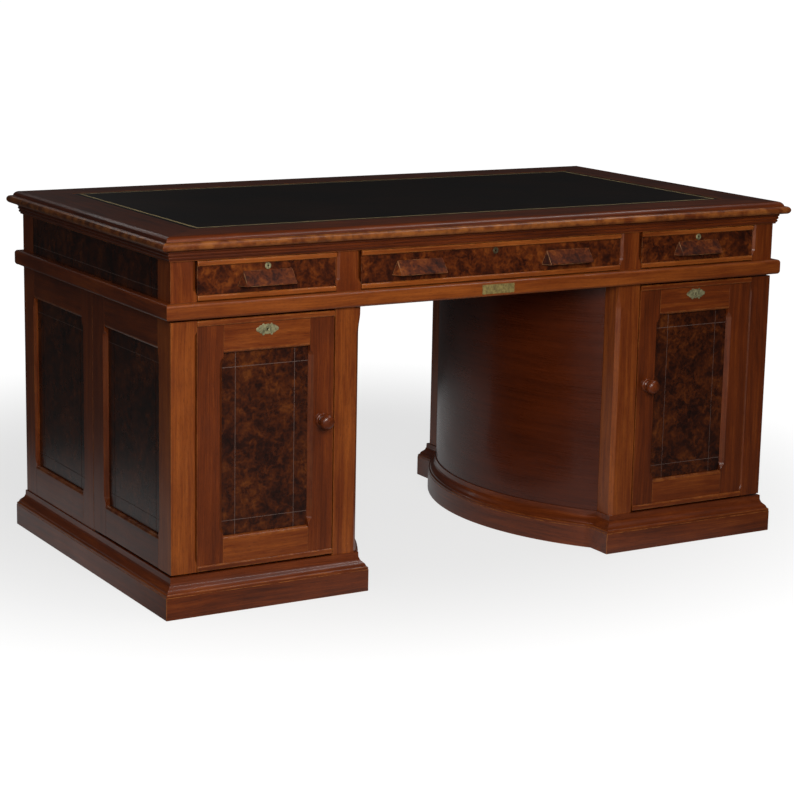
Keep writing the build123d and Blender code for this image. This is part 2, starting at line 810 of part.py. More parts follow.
def make_drawer_lock(x0, x1):
    """Lock body in its pocket, and a round keyhole plate under the upper strip."""
    middle = (x0 + x1) / 2
    back = -body_y + drawer_front_thickness
    lock = board(middle - lock_width / 2, middle + lock_width / 2, back - lock_thickness, back,
                 drawer_keyhole_z - lock_height / 2, drawer_keyhole_z + lock_height / 2)
    plate_face = Plane(origin=(middle, -body_y, drawer_keyhole_z), x_dir=(1, 0, 0), z_dir=(0, -1, 0))
    with BuildPart() as plate:
        with BuildSketch(plate_face):
            Circle(drawer_escutcheon_diameter / 2)
        extrude(amount=escutcheon_thickness)
        keyhole(middle, drawer_keyhole_z, -body_y - escutcheon_thickness, -body_y)
    return [lock, plate]


# ---------------------------------------------------------------- write every node
os.makedirs("parts", exist_ok=True)

plinth = make_plinth()
write("right_plinth", [plinth])
write("left_plinth", [mirrored(plinth)])
write("plinth_mouldings", both_sides([make_plinth_moulding()]))
write("pedestal_floors", both_sides([make_pedestal_floor()]))
write("fixed_posts", both_sides(make_fixed_posts()))
curved_wall = make_curved_wall()
write("right_curved_wall", [curved_wall])
write("left_curved_wall", [mirrored(curved_wall)])
write("partitions", both_sides([make_partition()]))
rear_side_frame, rear_side_panel = make_rear_side_frame()
back_frame, back_panel = make_back_frame()
write("rear_side_frames", both_sides(rear_side_frame))
write("back_frames", both_sides(back_frame))
write("rear_panels", both_sides([rear_side_panel, back_panel]))
write("waist_rails", make_waist_rails())
write("dust_board", [make_dust_board()])
write("frieze_posts", both_sides(make_frieze_posts()))
write("frieze_panels", make_frieze_panels())
write("bed_moulding", make_bed_moulding())
write("top_border", make_top_border())
write("top_core", [make_top_core()])
write("leather_inset", [make_leather()])
write("name_plate", [make_name_plate()])
write("pivot_bushes", both_sides(make_bushes()))
write("lock_keepers", make_keepers())
write("drawer_runners", make_runners())

case_front, case_front_panel = make_case_front()
case_side, case_side_panel = make_case_side()
case_nodes = {
    "front_frame": case_front,
    "front_panel": [case_front_panel],
    "post": [make_case_post()],
    "side_frame": case_side,
    "side_panel": [case_side_panel],
    "ends": make_case_ends(),
    "curved_skin": [make_case_skin()],
    "pigeonholes": make_pigeonholes(),
    "knob": [make_knob()],
    "lock": make_case_lock(),
    "pivot_pins": make_pins(),
}
for name, pieces in case_nodes.items():
    write(f"right_case_{name}", pieces)
    write(f"left_case_{name}", [mirrored(piece) for piece in pieces])

for side, (x0, x1) in drawer_spans.items():
    middle = (x0 + x1) / 2
    offsets = (-centre_pull_offset, centre_pull_offset) if side == "centre" else (0,)
    write(f"{side}_drawer_front", [make_drawer_front(x0, x1)])
    write(f"{side}_drawer_box", make_drawer_box(x0, x1))
    write(f"{side}_drawer_bottom", [board(*drawer_bottom_box(x0, x1))])
    write(f"{side}_drawer_pulls", [make_pull(middle + offset) for offset in offsets])
    write(f"{side}_drawer_lock", make_drawer_lock(x0, x1))
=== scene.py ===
# %% [markdown]
# # A pedestal writing desk with turning cases
# The desk is a polished walnut top with a leather inset, three drawers in a frieze, and two pedestals.
# The front quarter of each pedestal is a case that turns outwards and holds pigeonholes.
# The frame that is loaded here has every part at its real size. In this lesson the parts that are seen
# are made a second time, board by board, and each one gets its finish.

# %% Load the frame
import bmesh
import bpy
from math import asin, atan2, cos, hypot, pi, radians, sin, tan
from mathutils import Matrix, Vector


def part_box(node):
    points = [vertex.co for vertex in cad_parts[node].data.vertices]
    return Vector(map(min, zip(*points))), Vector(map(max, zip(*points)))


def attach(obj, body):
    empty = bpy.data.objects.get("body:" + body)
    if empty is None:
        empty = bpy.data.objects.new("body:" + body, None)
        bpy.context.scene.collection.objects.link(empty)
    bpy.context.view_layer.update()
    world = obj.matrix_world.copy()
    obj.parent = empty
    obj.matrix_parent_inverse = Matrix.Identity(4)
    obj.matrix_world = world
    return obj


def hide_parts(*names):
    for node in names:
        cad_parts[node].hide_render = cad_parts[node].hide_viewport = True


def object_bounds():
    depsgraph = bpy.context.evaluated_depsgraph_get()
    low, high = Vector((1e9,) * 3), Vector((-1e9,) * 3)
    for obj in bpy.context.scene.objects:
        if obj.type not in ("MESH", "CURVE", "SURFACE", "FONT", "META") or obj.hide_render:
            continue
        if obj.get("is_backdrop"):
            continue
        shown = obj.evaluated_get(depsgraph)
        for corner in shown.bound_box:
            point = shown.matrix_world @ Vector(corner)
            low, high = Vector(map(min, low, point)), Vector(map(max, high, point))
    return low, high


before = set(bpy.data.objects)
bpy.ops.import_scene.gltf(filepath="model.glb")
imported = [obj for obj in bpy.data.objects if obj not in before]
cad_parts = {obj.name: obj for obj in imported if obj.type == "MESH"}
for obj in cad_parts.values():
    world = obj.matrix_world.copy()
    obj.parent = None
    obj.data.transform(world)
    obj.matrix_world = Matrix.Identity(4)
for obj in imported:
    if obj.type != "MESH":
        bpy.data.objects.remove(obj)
cad_box = [list(corner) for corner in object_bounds()]
scene = bpy.context.scene
MM = 0.001
print("the frame is", [round(size, 3) for size in cad_box[1]], "at its highest corner")

# %% [markdown]
# ## The places that everything else follows
# Each board is cut to the frame, so the levels and faces are read from the frame's own parts. A maker
# would take the same few measures from the drawing: faces of the posts, heights of the mouldings, and
# the line of the kneehole.

# %% Read the levels and faces
posts_low, posts_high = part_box("fixed_posts")
waist_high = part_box("waist_rails")[1]
bed_low, bed_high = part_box("bed_moulding")
top_low, top_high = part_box("top_border")
plinth_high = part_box("right_plinth")[1]
leather_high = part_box("leather_inset")[1]
door_low, door_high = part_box("right_case_front_frame")
post_low, post_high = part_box("right_case_post")
panel_low, panel_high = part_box("right_case_front_panel")
side_panel_low, side_panel_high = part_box("right_case_side_panel")
wall_low, wall_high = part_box("right_curved_wall")
pins_low, pins_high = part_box("right_case_pivot_pins")

body_x, body_y = posts_high.x, posts_high.y
knee_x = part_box("centre_drawer_front")[1].x + 1 * MM
door_gap = 1.5 * MM
door_x0 = door_low.x - door_gap
door_x1 = door_high.x
plinth_top, waist_foot = posts_low.z, posts_high.z
frieze_foot, bed_foot, top_foot, desk_height = waist_high.z, bed_low.z, top_low.z, top_high.z
case_foot, case_head = post_low.z, post_high.z
post_y = wall_high.y
side_post_y = -post_high.y
pivot_x = (pins_low.x + pins_high.x) / 2
wall_radius = pivot_x - wall_low.x
tongue = 7 * MM
frame_thickness = 24 * MM
panel_sink = 9 * MM
panel_thickness = 9 * MM
front_opening = (panel_low.z + tongue, panel_high.z - tongue)
side_opening = (side_panel_low.z + tongue, side_panel_high.z - tongue)
ACROSS = {-1: "left", 1: "right"}  # by the sign of x
ALONG = {-1: "front", 1: "back"}  # by the sign of y


def middle_of(node):
    low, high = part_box(node)
    return (low + high) / 2


print("posts at", round(body_x, 4), round(body_y, 4), "kneehole half width", round(knee_x, 4))

# %% [markdown]
# ## Camera
# The desk is seen from the front left and a little above, through a long lens, so that its upright
# edges stay nearly parallel. The camera leans by one degree, as a hand-levelled tripod does.

# %% Set up the camera
camera_place = Vector((-2.5096, -4.2392, 1.353))
camera_turn, camera_tilt, camera_lean = 30.61, 12.01, 1.126
lens = bpy.data.cameras.new("camera")
lens.lens = 100.66
lens.clip_end = 200
camera = bpy.data.objects.new("camera", lens)
camera.matrix_world = (
    Matrix.Translation(camera_place)
    @ Matrix.Rotation(radians(-camera_turn), 4, "Z")
    @ Matrix.Rotation(radians(90 - camera_tilt), 4, "X")
    @ Matrix.Rotation(radians(camera_lean), 4, "Z")
)
scene.collection.objects.link(camera)
scene.camera = camera
print("camera", round(camera_place.length, 2), "m from the middle of the floor")

# %% [markdown]
# ## Shader arithmetic
# A finish is mostly sums on numbers that change over the surface. Wiring them by hand hides what they
# say, so a small class stands for a socket and turns `1 - mask` or `a * b` into Math nodes. Every
# other node comes from one method, which sets the node up before it fills or links its sockets.

# %% A wire and a finish
class Wire:
    """A socket that gives a value. Arithmetic on it adds Math nodes."""

    def __init__(self, finish, socket):
        self.finish = finish
        self.socket = socket

    def maths(self, operation, *terms):
        return self.finish.node("ShaderNodeMath", {"operation": operation}, dict(enumerate(terms)))

    def __add__(self, other):
        return self.maths("ADD", self, other)

    def __sub__(self, other):
        return self.maths("SUBTRACT", self, other)

    def __rsub__(self, other):
        return self.maths("SUBTRACT", other, self)

    def __mul__(self, other):
        return self.maths("MULTIPLY", self, other)

    def __gt__(self, other):
        return self.maths("GREATER_THAN", self, other)

    def __lt__(self, other):
        return self.maths("LESS_THAN", self, other)

    def __abs__(self):
        return self.maths("ABSOLUTE", self)

    __radd__ = __add__
    __rmul__ = __mul__

    def between(self, low, high):
        """0 at low, 1 at high, and smooth from one to the other."""
        settings = {"interpolation_type": "SMOOTHSTEP"}
        return self.finish.node("ShaderNodeMapRange", settings, {0: self, 1: low, 2: high})


class Finish:
    """A material, and the one way that its nodes are added."""

    def __init__(self, name):
        self.material = bpy.data.materials.new(name)
        self.material.use_nodes = True
        self.tree = self.material.node_tree
        self.tree.nodes.clear()

    def node(self, kind, settings=None, inputs=None, output=0):
        node = self.tree.nodes.new(kind)
        for name, value in (settings or {}).items():
            if name == "stops":
                ramp = node.color_ramp.elements
                while len(ramp) < len(value):
                    ramp.new(1)
                for stop, (position, colour) in zip(ramp, value):
                    stop.position = position
                    stop.color = (*colour, 1)
            else:
                setattr(node, name, value)
        for name, value in (inputs or {}).items():
            if isinstance(value, Wire):
                self.tree.links.new(value.socket, node.inputs[name])
            else:
                node.inputs[name].default_value = value
        return Wire(self, node.outputs[output]) if node.outputs else None

    def attribute(self, name, output="Fac"):
        return self.node("ShaderNodeAttribute", {"attribute_name": name}, output=output)

    def stretched(self, place, scale):
        return self.node("ShaderNodeVectorMath", {"operation": "MULTIPLY"}, {0: place, 1: scale})

    def shifted(self, place, offset):
        return self.node("ShaderNodeVectorMath", {"operation": "ADD"}, {0: place, 1: offset})

    def noise(self, place, scale=1.0, detail=4.0, roughness=0.55, distortion=0.0, output="Fac"):
        inputs = {"Vector": place, "Scale": scale, "Detail": detail, "Roughness": roughness,
                  "Distortion": distortion}
        return self.node("ShaderNodeTexNoise", inputs=inputs, output=output)

    def cells(self, place, scale):
        return self.node("ShaderNodeTexVoronoi", inputs={"Vector": place, "Scale": scale})

    def ramp(self, value, *stops):
        return self.node("ShaderNodeValToRGB", {"stops": stops}, {"Fac": value})

    def mix(self, share, first, second, way="MIX"):
        colours = [(*c, 1) if isinstance(c, tuple) else c for c in (first, second)]
        return self.node("ShaderNodeMix", {"data_type": "RGBA", "blend_type": way},
                         {0: share, 6: colours[0], 7: colours[1]}, 2)

    def bump(self, height, distance, strength):
        return self.node("ShaderNodeBump",
                         inputs={"Height": height, "Distance": distance, "Strength": strength})

    def surface(self, **sockets):
        """Ends the material in one Principled shader. Names use _ for a space."""
        inputs = {name.replace("_", " "): value for name, value in sockets.items()}
        shader = self.node("ShaderNodeBsdfPrincipled", inputs=inputs)
        self.node("ShaderNodeOutputMaterial", inputs={"Surface": shader})
        return self.material


print("shader helpers ready")

# %% [markdown]
# ## Walnut
# Walnut shows dark growth lines drawn out along the board, a slow drift of colour, fine open pores and,
# on old polish, lighter worn arrises and small dents. The figure has to run along each board, so it
# reads the board's own grain coordinates, which the joinery below stores at every corner of a face.
# Three numbers come with each corner: where it is along, across and into the board; how light the
# board is; and how worn the edge is. A solid pattern made from these crosses an arris as real grain does.

# %% Walnut and the other timbers
def timber(name, deep, middle, bright, worn, contrast=1.0, gloss=0.3, coat=0.2, along=None):
    """A polished timber. along is the axis of the grain on a part that has no grain of its own."""
    f = Finish(name)
    if along is None:
        place = f.attribute("grain", "Vector")
        tone = f.attribute("tone")
        edge = f.attribute("edge")
    else:
        turn = {"x": (0, 0, 0), "y": (0, 0, pi / 2), "z": (0, pi / 2, 0)}[along]
        place = f.node("ShaderNodeTexCoord", output="Object")
        place = f.node("ShaderNodeMapping", inputs={"Vector": place, "Rotation": turn})
        tone = edge = None
    drift = f.noise(f.stretched(place, (1.6, 5, 5)), detail=2, output="Color")
    bent = f.shifted(place, f.stretched(drift, (0.0, 0.05, 0.05)))
    streaks = f.noise(f.stretched(bent, (2.4, 75, 75)), detail=6, roughness=0.66)
    lines = f.noise(f.stretched(bent, (7, 420, 420)), detail=3, roughness=0.6)
    clouds = f.noise(f.stretched(place, (5, 12, 12)), detail=5, roughness=0.6)
    figure = (streaks * 0.46 + lines * 0.3 + clouds * 0.36 - 0.56) * contrast + 0.56
    if tone:
        figure = figure + tone * 0.34 - 0.17
    colour = f.ramp(figure, (0.34, deep), (0.56, middle), (0.82, bright))
    pores = f.noise(f.stretched(place, (95, 1100, 1100)), detail=1).between(0.58, 0.7)
    colour = f.mix(pores * 0.42, colour, deep)
    rub = f.noise(place, scale=38, detail=6, roughness=0.7)
    dents = (f.cells(place, 24) < 0.03) * (f.noise(place, scale=9, detail=1) > 0.6)
    if edge:
        incised = edge < -0.5
        bare = edge.maths("MAXIMUM", edge, 0.0) * rub.between(0.34, 0.66)
        bare = bare.maths("MAXIMUM", bare, dents * 0.7)
        colour = f.mix(bare * 0.7, colour, worn)
        colour = f.mix(incised * 0.55, colour, (0.16, 0.10, 0.085))
    rough = f.noise(place, scale=11, detail=3) * 0.16 + lines * 0.1 + (gloss - 0.1)
    normal = f.bump(lines * 0.6 + rub * 0.3 - pores * 0.5, 0.00012, 0.4)
    return f.surface(Base_Color=colour, Roughness=rough, Specular_IOR_Level=0.36, Coat_Weight=coat,
                     Coat_Roughness=0.12, Normal=normal)


walnut = timber("polished_walnut", (0.040, 0.0075, 0.0024), (0.142, 0.0265, 0.0042),
                (0.34, 0.088, 0.013), (0.40, 0.135, 0.028))
# A darker copy of the walnut for the side frames: painted shade for the sides.
shaded_side_walnut = timber("shaded_walnut", (0.034, 0.0062, 0.0020), (0.120, 0.0225, 0.0036),
                     (0.25, 0.060, 0.010), (0.36, 0.13, 0.04))
bent_walnut = timber("bent_walnut_veneer", (0.022, 0.0036, 0.0012), (0.085, 0.0140, 0.0024),
                     (0.17, 0.034, 0.006), (0.25, 0.08, 0.02), contrast=0.5, gloss=0.26)
skin_walnut = timber("plain_walnut", (0.036, 0.0075, 0.0028), (0.125, 0.027, 0.0060), (0.25, 0.065, 0.014),
                     (0.30, 0.10, 0.03), contrast=0.8, gloss=0.42, coat=0.0, along="z")
inside_timber = {
    axis: timber(f"inside_timber_{axis}", (0.10, 0.045, 0.018), (0.24, 0.12, 0.05),
                 (0.38, 0.22, 0.10), (0.4, 0.3, 0.2), gloss=0.6, coat=0.0, along=axis)
    for axis in "xyz"
}
print(len(bpy.data.materials), "timbers")

# %% [markdown]
# ## Burl
# Burl veneer is cut from a growth full of small buds. It has no direction: clouds of orange and
# near-black brown fold round each other, with small dark eyes. Noise that is bent by other noise
# gives the folds, and cells give the eyes.

# %% Burl
def burl_veneer(name, light, rubbed=0.0):
    """light scales the colour. rubbed is how far handling has dulled the polish, from 0 to 1."""
    f = Finish(name)
    place = f.attribute("grain", "Vector")
    edge = f.attribute("edge")
    fold = f.noise(place, scale=30, detail=4, output="Color")
    bent = f.shifted(place, f.stretched(fold, (0.035, 0.035, 0.035)))
    clouds = f.noise(bent, scale=52, detail=8, roughness=0.62, distortion=0.3)
    patches = f.noise(place, scale=11, detail=4)
    eyes = f.cells(f.shifted(place, f.stretched(fold, (0.015, 0.015, 0.015))), 150)
    figure = clouds * 0.74 + patches * 0.42 + eyes * 0.14 - 0.13
    colour = f.ramp(figure, (0.33, (0.013, 0.0032, 0.0019)), (0.46, (0.042, 0.0084, 0.0029)),
                    (0.58, (0.108, 0.0220, 0.0043)), (0.74, (0.23, 0.058, 0.009)))
    colour = f.mix(1.0, colour, (light, light, light), "MULTIPLY")
    rub = f.noise(place, scale=45, detail=4)
    bare = edge.maths("MAXIMUM", edge, 0.0) * rub.between(0.36, 0.64)
    colour = f.mix(bare * 0.6, colour, (0.40, 0.20, 0.085))
    colour = f.mix((edge < -0.5) * 0.55, colour, (0.22, 0.15, 0.13))
    rough = f.noise(place, scale=13, detail=3) * 0.16 + 0.2 + 0.3 * rubbed
    normal = f.bump(clouds * 0.4 + rub * 0.3, 0.00012, 0.35)
    return f.surface(Base_Color=colour, Roughness=rough, Specular_IOR_Level=0.36 - 0.16 * rubbed,
                     Coat_Weight=0.2 * (1 - rubbed), Coat_Roughness=0.12, Normal=normal)


burl = burl_veneer("burl_walnut_veneer", 0.95)
door_burl = burl_veneer("door_burl_walnut_veneer", 0.56)
dark_burl = burl_veneer("dark_burl_walnut_veneer", 0.42)
pull_burl = burl_veneer("pull_burl_walnut_veneer", 0.95, rubbed=1.0)
print("burl in four depths of colour")

# %% [markdown]
# ## Leather, brass and iron
# The writing surface is black hide with a fine pebble, rubbed brown in places, and a gilt line tooled
# a finger's width inside its edge. The pebble is a bump from small cells. The line is found from the
# distance to the edge, and its gold is broken up where hands have worn it away.

# %% Leather, brass and iron
def tooled_leather(name, half_x, half_y, inset, width):
    f = Finish(name)
    place = f.node("ShaderNodeTexCoord", output="Object")
    across = f.node("ShaderNodeSeparateXYZ", inputs={0: place}, output="X")
    along = f.node("ShaderNodeSeparateXYZ", inputs={0: place}, output="Y")
    from_edge = across.maths("MINIMUM", half_x - abs(across), half_y - abs(along))
    from_line = abs(from_edge - inset)
    line = from_line < width / 2
    cleft = from_line < width / 7
    beads = across.maths("SINE", (across + along) * 1500)
    worn = f.noise(place, scale=60, detail=4).between(0.3, 0.62)
    gilt = line * (1 - cleft * 0.5) * (worn * 0.4 + 0.6) * (beads * 0.15 + 0.85)
    hide = f.noise(place, scale=5, detail=6, roughness=0.6)
    black = f.ramp(hide, (0.4, (0.0058, 0.0040, 0.0038)), (0.75, (0.016, 0.0085, 0.0062)))
    colour = f.mix(gilt, black, (0.80, 0.62, 0.30))
    pebble = f.cells(place, 620)
    crease = f.noise(place, scale=24, detail=5)
    rough = hide * 0.16 + 0.34
    normal = f.bump(pebble * 0.5 + crease * 0.9 - line * 0.7, 0.0003, 0.3)
    return f.surface(Base_Color=colour, Roughness=rough, Specular_IOR_Level=0.3, Normal=normal)


def old_metal(name, bright, dull, metallic, gloss):
    f = Finish(name)
    place = f.node("ShaderNodeTexCoord", output="Object")
    grime = f.noise(place, scale=150, detail=6, roughness=0.7)
    colour = f.ramp(grime, (0.36, dull), (0.6, bright))
    rough = f.noise(place, scale=330, detail=3) * 0.3 + gloss
    normal = f.bump(grime, 0.0003, 0.6)
    return f.surface(Base_Color=colour, Metallic=metallic, Roughness=rough, Normal=normal)


leather = tooled_leather("tooled_black_leather", leather_high.x, leather_high.y, 14 * MM, 5 * MM)
brass = old_metal("aged_brass", (0.40, 0.37, 0.20), (0.13, 0.12, 0.065), 0.45, 0.35)
dark_brass = old_metal("tarnished_brass", (0.12, 0.09, 0.045), (0.035, 0.025, 0.014), 0.5, 0.4)
plate_brass = old_metal("rubbed_brass", (0.37, 0.29, 0.10), (0.16, 0.11, 0.04), 0.35, 0.35)
iron = old_metal("dark_iron", (0.11, 0.10, 0.095), (0.03, 0.026, 0.024), 0.9, 0.4)
print("leather, brass and iron")

# %% [markdown]
# ## Joinery
# Nearly everything here is a board: a block whose long edges are rounded, moulded or chamfered. The
# class below collects the boards of one piece in one mesh. Each board starts from an operator, has its
# edges worked with bevels, and is then given its grain. A board is drawn as if it stood at the front of
# the desk, and `place` turns it to the side or the back.

# %% The joiner's bench
SIDES = {
    "left": Vector((-1, 0, 0)), "right": Vector((1, 0, 0)), "front": Vector((0, -1, 0)),
    "back": Vector((0, 1, 0)), "foot": Vector((0, 0, -1)), "head": Vector((0, 0, 1)),
}
AXES = {"x": 0, "y": 1, "z": 2}
ARRIS = 0.9 * MM
STOP_LENGTH = 16 * MM
STOP_STEPS = 8
EVERYWHERE = ((-9, -9), (9, 9))  # metres, wider than any board
boards_cut = 0


class Joinery:
    """The boards of one piece. Faces are marked above 0 where edges wear, and below 0 where incised."""

    def __init__(self, place=Matrix.Identity(4)):
        self.bm = bmesh.new()
        self.place = place
        self.grain = self.bm.loops.layers.float_vector.new("grain")
        self.tone = self.bm.loops.layers.float.new("tone")
        self.edge = self.bm.loops.layers.float.new("edge")
        self.mark = self.bm.faces.layers.float.new("mark")
        self.done = self.bm.faces.layers.int.new("done")

    def fresh(self):
        """Faces of the board that is being made."""
        return [face for face in self.bm.faces if not face[self.done]]

    def fresh_edges(self):
        return list({edge: None for face in self.fresh() for edge in face.edges})

    def fresh_verts(self):
        return list({vert: None for face in self.fresh() for vert in face.verts})

    def extrude(self, faces):
        """Extrudes faces, and gives the faces and the verts that come out."""
        edges = list({edge: None for face in faces for edge in face.edges})
        made = bmesh.ops.extrude_face_region(self.bm, geom=faces + edges)["geom"]
        return [[part for part in made if isinstance(part, kind)]
                for kind in (bmesh.types.BMFace, bmesh.types.BMVert)]

    def pull(self, faces, by):
        """Extrudes faces and moves what comes out."""
        faces, verts = self.extrude(faces)
        bmesh.ops.translate(self.bm, vec=by, verts=verts)
        return faces

    def soften(self, edges, width, segments, mark):
        if edges:
            made = bmesh.ops.bevel(self.bm, geom=edges, offset=width, offset_type="OFFSET", profile=0.5,
                                   segments=segments, affect="EDGES", material=-1, clamp_overlap=True)
            for face in made["faces"]:
                face[self.mark] = mark
            self.bm.normal_update()

    def meeting(self, names):
        """The fresh edges where two named sides meet."""
        first, second = (SIDES[name] for name in names.split())
        found = []
        for edge in self.fresh_edges():
            normals = [face.normal for face in edge.link_faces]
            if all(any(normal.dot(side) > 0.99 for normal in normals) for side in (first, second)):
                found.append(edge)
        return found

    def take_off_arris(self, width):
        sharp = [edge for edge in self.fresh_edges()
                 if len(edge.link_faces) == 2 and edge.is_convex and edge.calc_face_angle() > radians(50)]
        self.soften(sharp, width, 2, 1.0)

    def cut(self, axis, at):
        normal = [0, 0, 0]
        normal[AXES[axis]] = 1
        parts = self.fresh_verts() + self.fresh_edges() + self.fresh()
        bmesh.ops.bisect_plane(self.bm, geom=parts, plane_co=Vector(normal) * at, plane_no=normal, dist=1e-7)
        self.bm.normal_update()

    def front_faces(self, low, high):
        """Fresh faces that look to the front, with their middle between two corners (x, z)."""
        found = []
        for face in self.fresh():
            x, y, z = face.calc_center_median()
            inside = low[0] < x < high[0] and low[1] < z < high[1]
            if inside and face.normal.dot(SIDES["front"]) > 0.9:
                found.append(face)
        return found

    def sink_well(self, x, z, width, height, depth):
        """A square well behind a keyhole."""
        for axis, at, half in (("x", x, width / 2), ("z", z, height / 2)):
            self.cut(axis, at - half)
            self.cut(axis, at + half)
        cell = self.front_faces((x - width / 2, z - height / 2), (x + width / 2, z + height / 2))
        self.pull(cell, SIDES["back"] * depth)

    def incise(self, lines, width, depth):
        """Fine grooves across the whole front of the board. Each line is an axis and a place on it."""
        for axis, at in lines:
            self.cut(axis, at - width / 2)
            self.cut(axis, at + width / 2)
        strips = []
        for face in self.front_faces(*EVERYWHERE):
            centre = face.calc_center_median()
            if any(abs(centre[AXES[axis]] - at) < width / 2 for axis, at in lines):
                strips.append(face)
        for face in self.pull(strips, SIDES["back"] * depth):
            face[self.mark] = -1.0

    def stopped(self, low, high, corners, width):
        """An upright board. corners gives each chamfered corner its foot, its head and its stop's length.
        A chamfer runs out past its foot and head in a lamb's tongue, a small ogee."""
        middle, size = (low + high) / 2, high - low
        section = Matrix.Translation((middle.x, middle.y, low.z)) @ Matrix.Diagonal((size.x, size.y, 1, 1))
        made = bmesh.ops.create_grid(self.bm, x_segments=1, y_segments=1, size=0.5, matrix=section)["verts"]
        tips = []
        for names in corners:
            reach = sum((SIDES[name] for name in names.split()), Vector())
            tips.append(max(made, key=lambda vert: (vert.co - middle).dot(reach)))
        points = [tip.co.copy() for tip in tips]
        hair = 0.25 * MM
        bmesh.ops.bevel(self.bm, geom=tips, offset=hair, offset_type="OFFSET", segments=1, profile=0.5,
                        affect="VERTICES", material=-1)
        levels = {low.z, high.z}
        for foot, head, length in corners.values():
            for step in range(STOP_STEPS + 1):
                reach = length * step / STOP_STEPS
                levels |= {level for level in (round(foot - reach, 4), round(head + reach, 4))
                           if low.z + 1 * MM < level < high.z - 1 * MM}
        face = self.fresh()[0]
        for level in sorted(levels):
            if level > low.z:
                face = self.extrude([face])[0][0]
            for vert in face.verts:
                vert.co.z = level
                for point, (foot, head, length) in zip(points, corners.values()):
                    away = Vector((vert.co.x - point.x, vert.co.y - point.y, 0))
                    if away.length < width * 1.3:
                        beyond = min(1, max(foot - level, level - head, 0) / length)
                        chamfer = hair + (width - hair) * (1 + cos(pi * beyond)) / 2
                        vert.co = Vector((point.x, point.y, level)) + away.normalized() * chamfer
        bmesh.ops.recalc_face_normals(self.bm, faces=self.fresh())
        self.bm.normal_update()
        for face in self.fresh():
            if abs(face.normal.x * face.normal.y) > 0.1:
                face[self.mark] = 0.12
        plain = [edge for edge in self.fresh_edges()
                 if abs((edge.verts[0].co - edge.verts[1].co).normalized().z) > 0.99
                 and edge.calc_face_angle() > radians(80)]
        self.soften(plain, ARRIS, 2, 0.8)

    def settle(self, grain, tone):
        """Gives the finished board its grain and tone, puts it in its place and closes it."""
        global boards_cut
        boards_cut += 1
        shift = Vector((boards_cut * 0.731, boards_cut * 0.377, boards_cut * 0.519))
        verts = self.fresh_verts()
        for face in self.fresh():
            for loop in face.loops:
                point = loop.vert.co
                where = grain(point, face) if callable(grain) else self.along(point, AXES[grain])
                loop[self.grain] = where + shift
                loop[self.tone] = tone
                loop[self.edge] = face[self.mark]
            face[self.done] = 1
        bmesh.ops.transform(self.bm, matrix=self.place, verts=verts)

    @staticmethod
    def along(point, axis):
        return Vector((point[axis], point[(axis + 1) % 3], point[(axis + 2) % 3]))

    def board(self, x, y, z, grain, tone=0.5, rounds=(), corners=None, chamfer=0, well=None, lines=(),
              arris=ARRIS):
        """A board between three spans. rounds names edges and gives their radius, corners and chamfer are
        as in stopped, well as in sink_well, and lines as in incise."""
        low = Vector(min(span) for span in (x, y, z))
        high = Vector(max(span) for span in (x, y, z))
        if corners:
            self.stopped(low, high, corners, chamfer)
        else:
            shape = Matrix.Translation((low + high) / 2) @ Matrix.Diagonal((*(high - low), 1))
            bmesh.ops.create_cube(self.bm, size=1, matrix=shape)
            self.bm.normal_update()
        if well:
            self.sink_well(*well)
        for names, radius in rounds:
            self.soften(self.meeting(names), radius, 5, 0.6)
        if arris and not corners:
            self.take_off_arris(arris)
        if lines:
            self.incise(lines, 1.5 * MM, 0.8 * MM)
        self.settle(grain, tone)

    def piece(self, name, body, slot, finish, *replaced):
        """Makes the boards one object that rides on a body."""
        bmesh.ops.recalc_face_normals(self.bm, faces=self.bm.faces)
        mesh = bpy.data.meshes.new(name)
        self.bm.to_mesh(mesh)
        mesh.materials.append(finish)
        mesh.polygons.foreach_set("use_smooth", [True] * len(mesh.polygons))
        mesh.set_sharp_from_angle(angle=radians(35))
        made = bpy.data.objects.new(name, mesh)
        scene.collection.objects.link(made)
        made.modifiers.new("flat_faces", "WEIGHTED_NORMAL").keep_sharp = True
        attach(made, body)
        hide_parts(*replaced)
        print(name, len(mesh.polygons), "faces on", body)
        return made


# %% [markdown]
# ## Drawing a moulding
# A moulding is a section pushed along the board. The section is drawn with a pen that extrudes one
# vertex after another. A straight goes to a point. A curve turns the vertex about a centre with the
# spin operator, so that every round is a true arc.

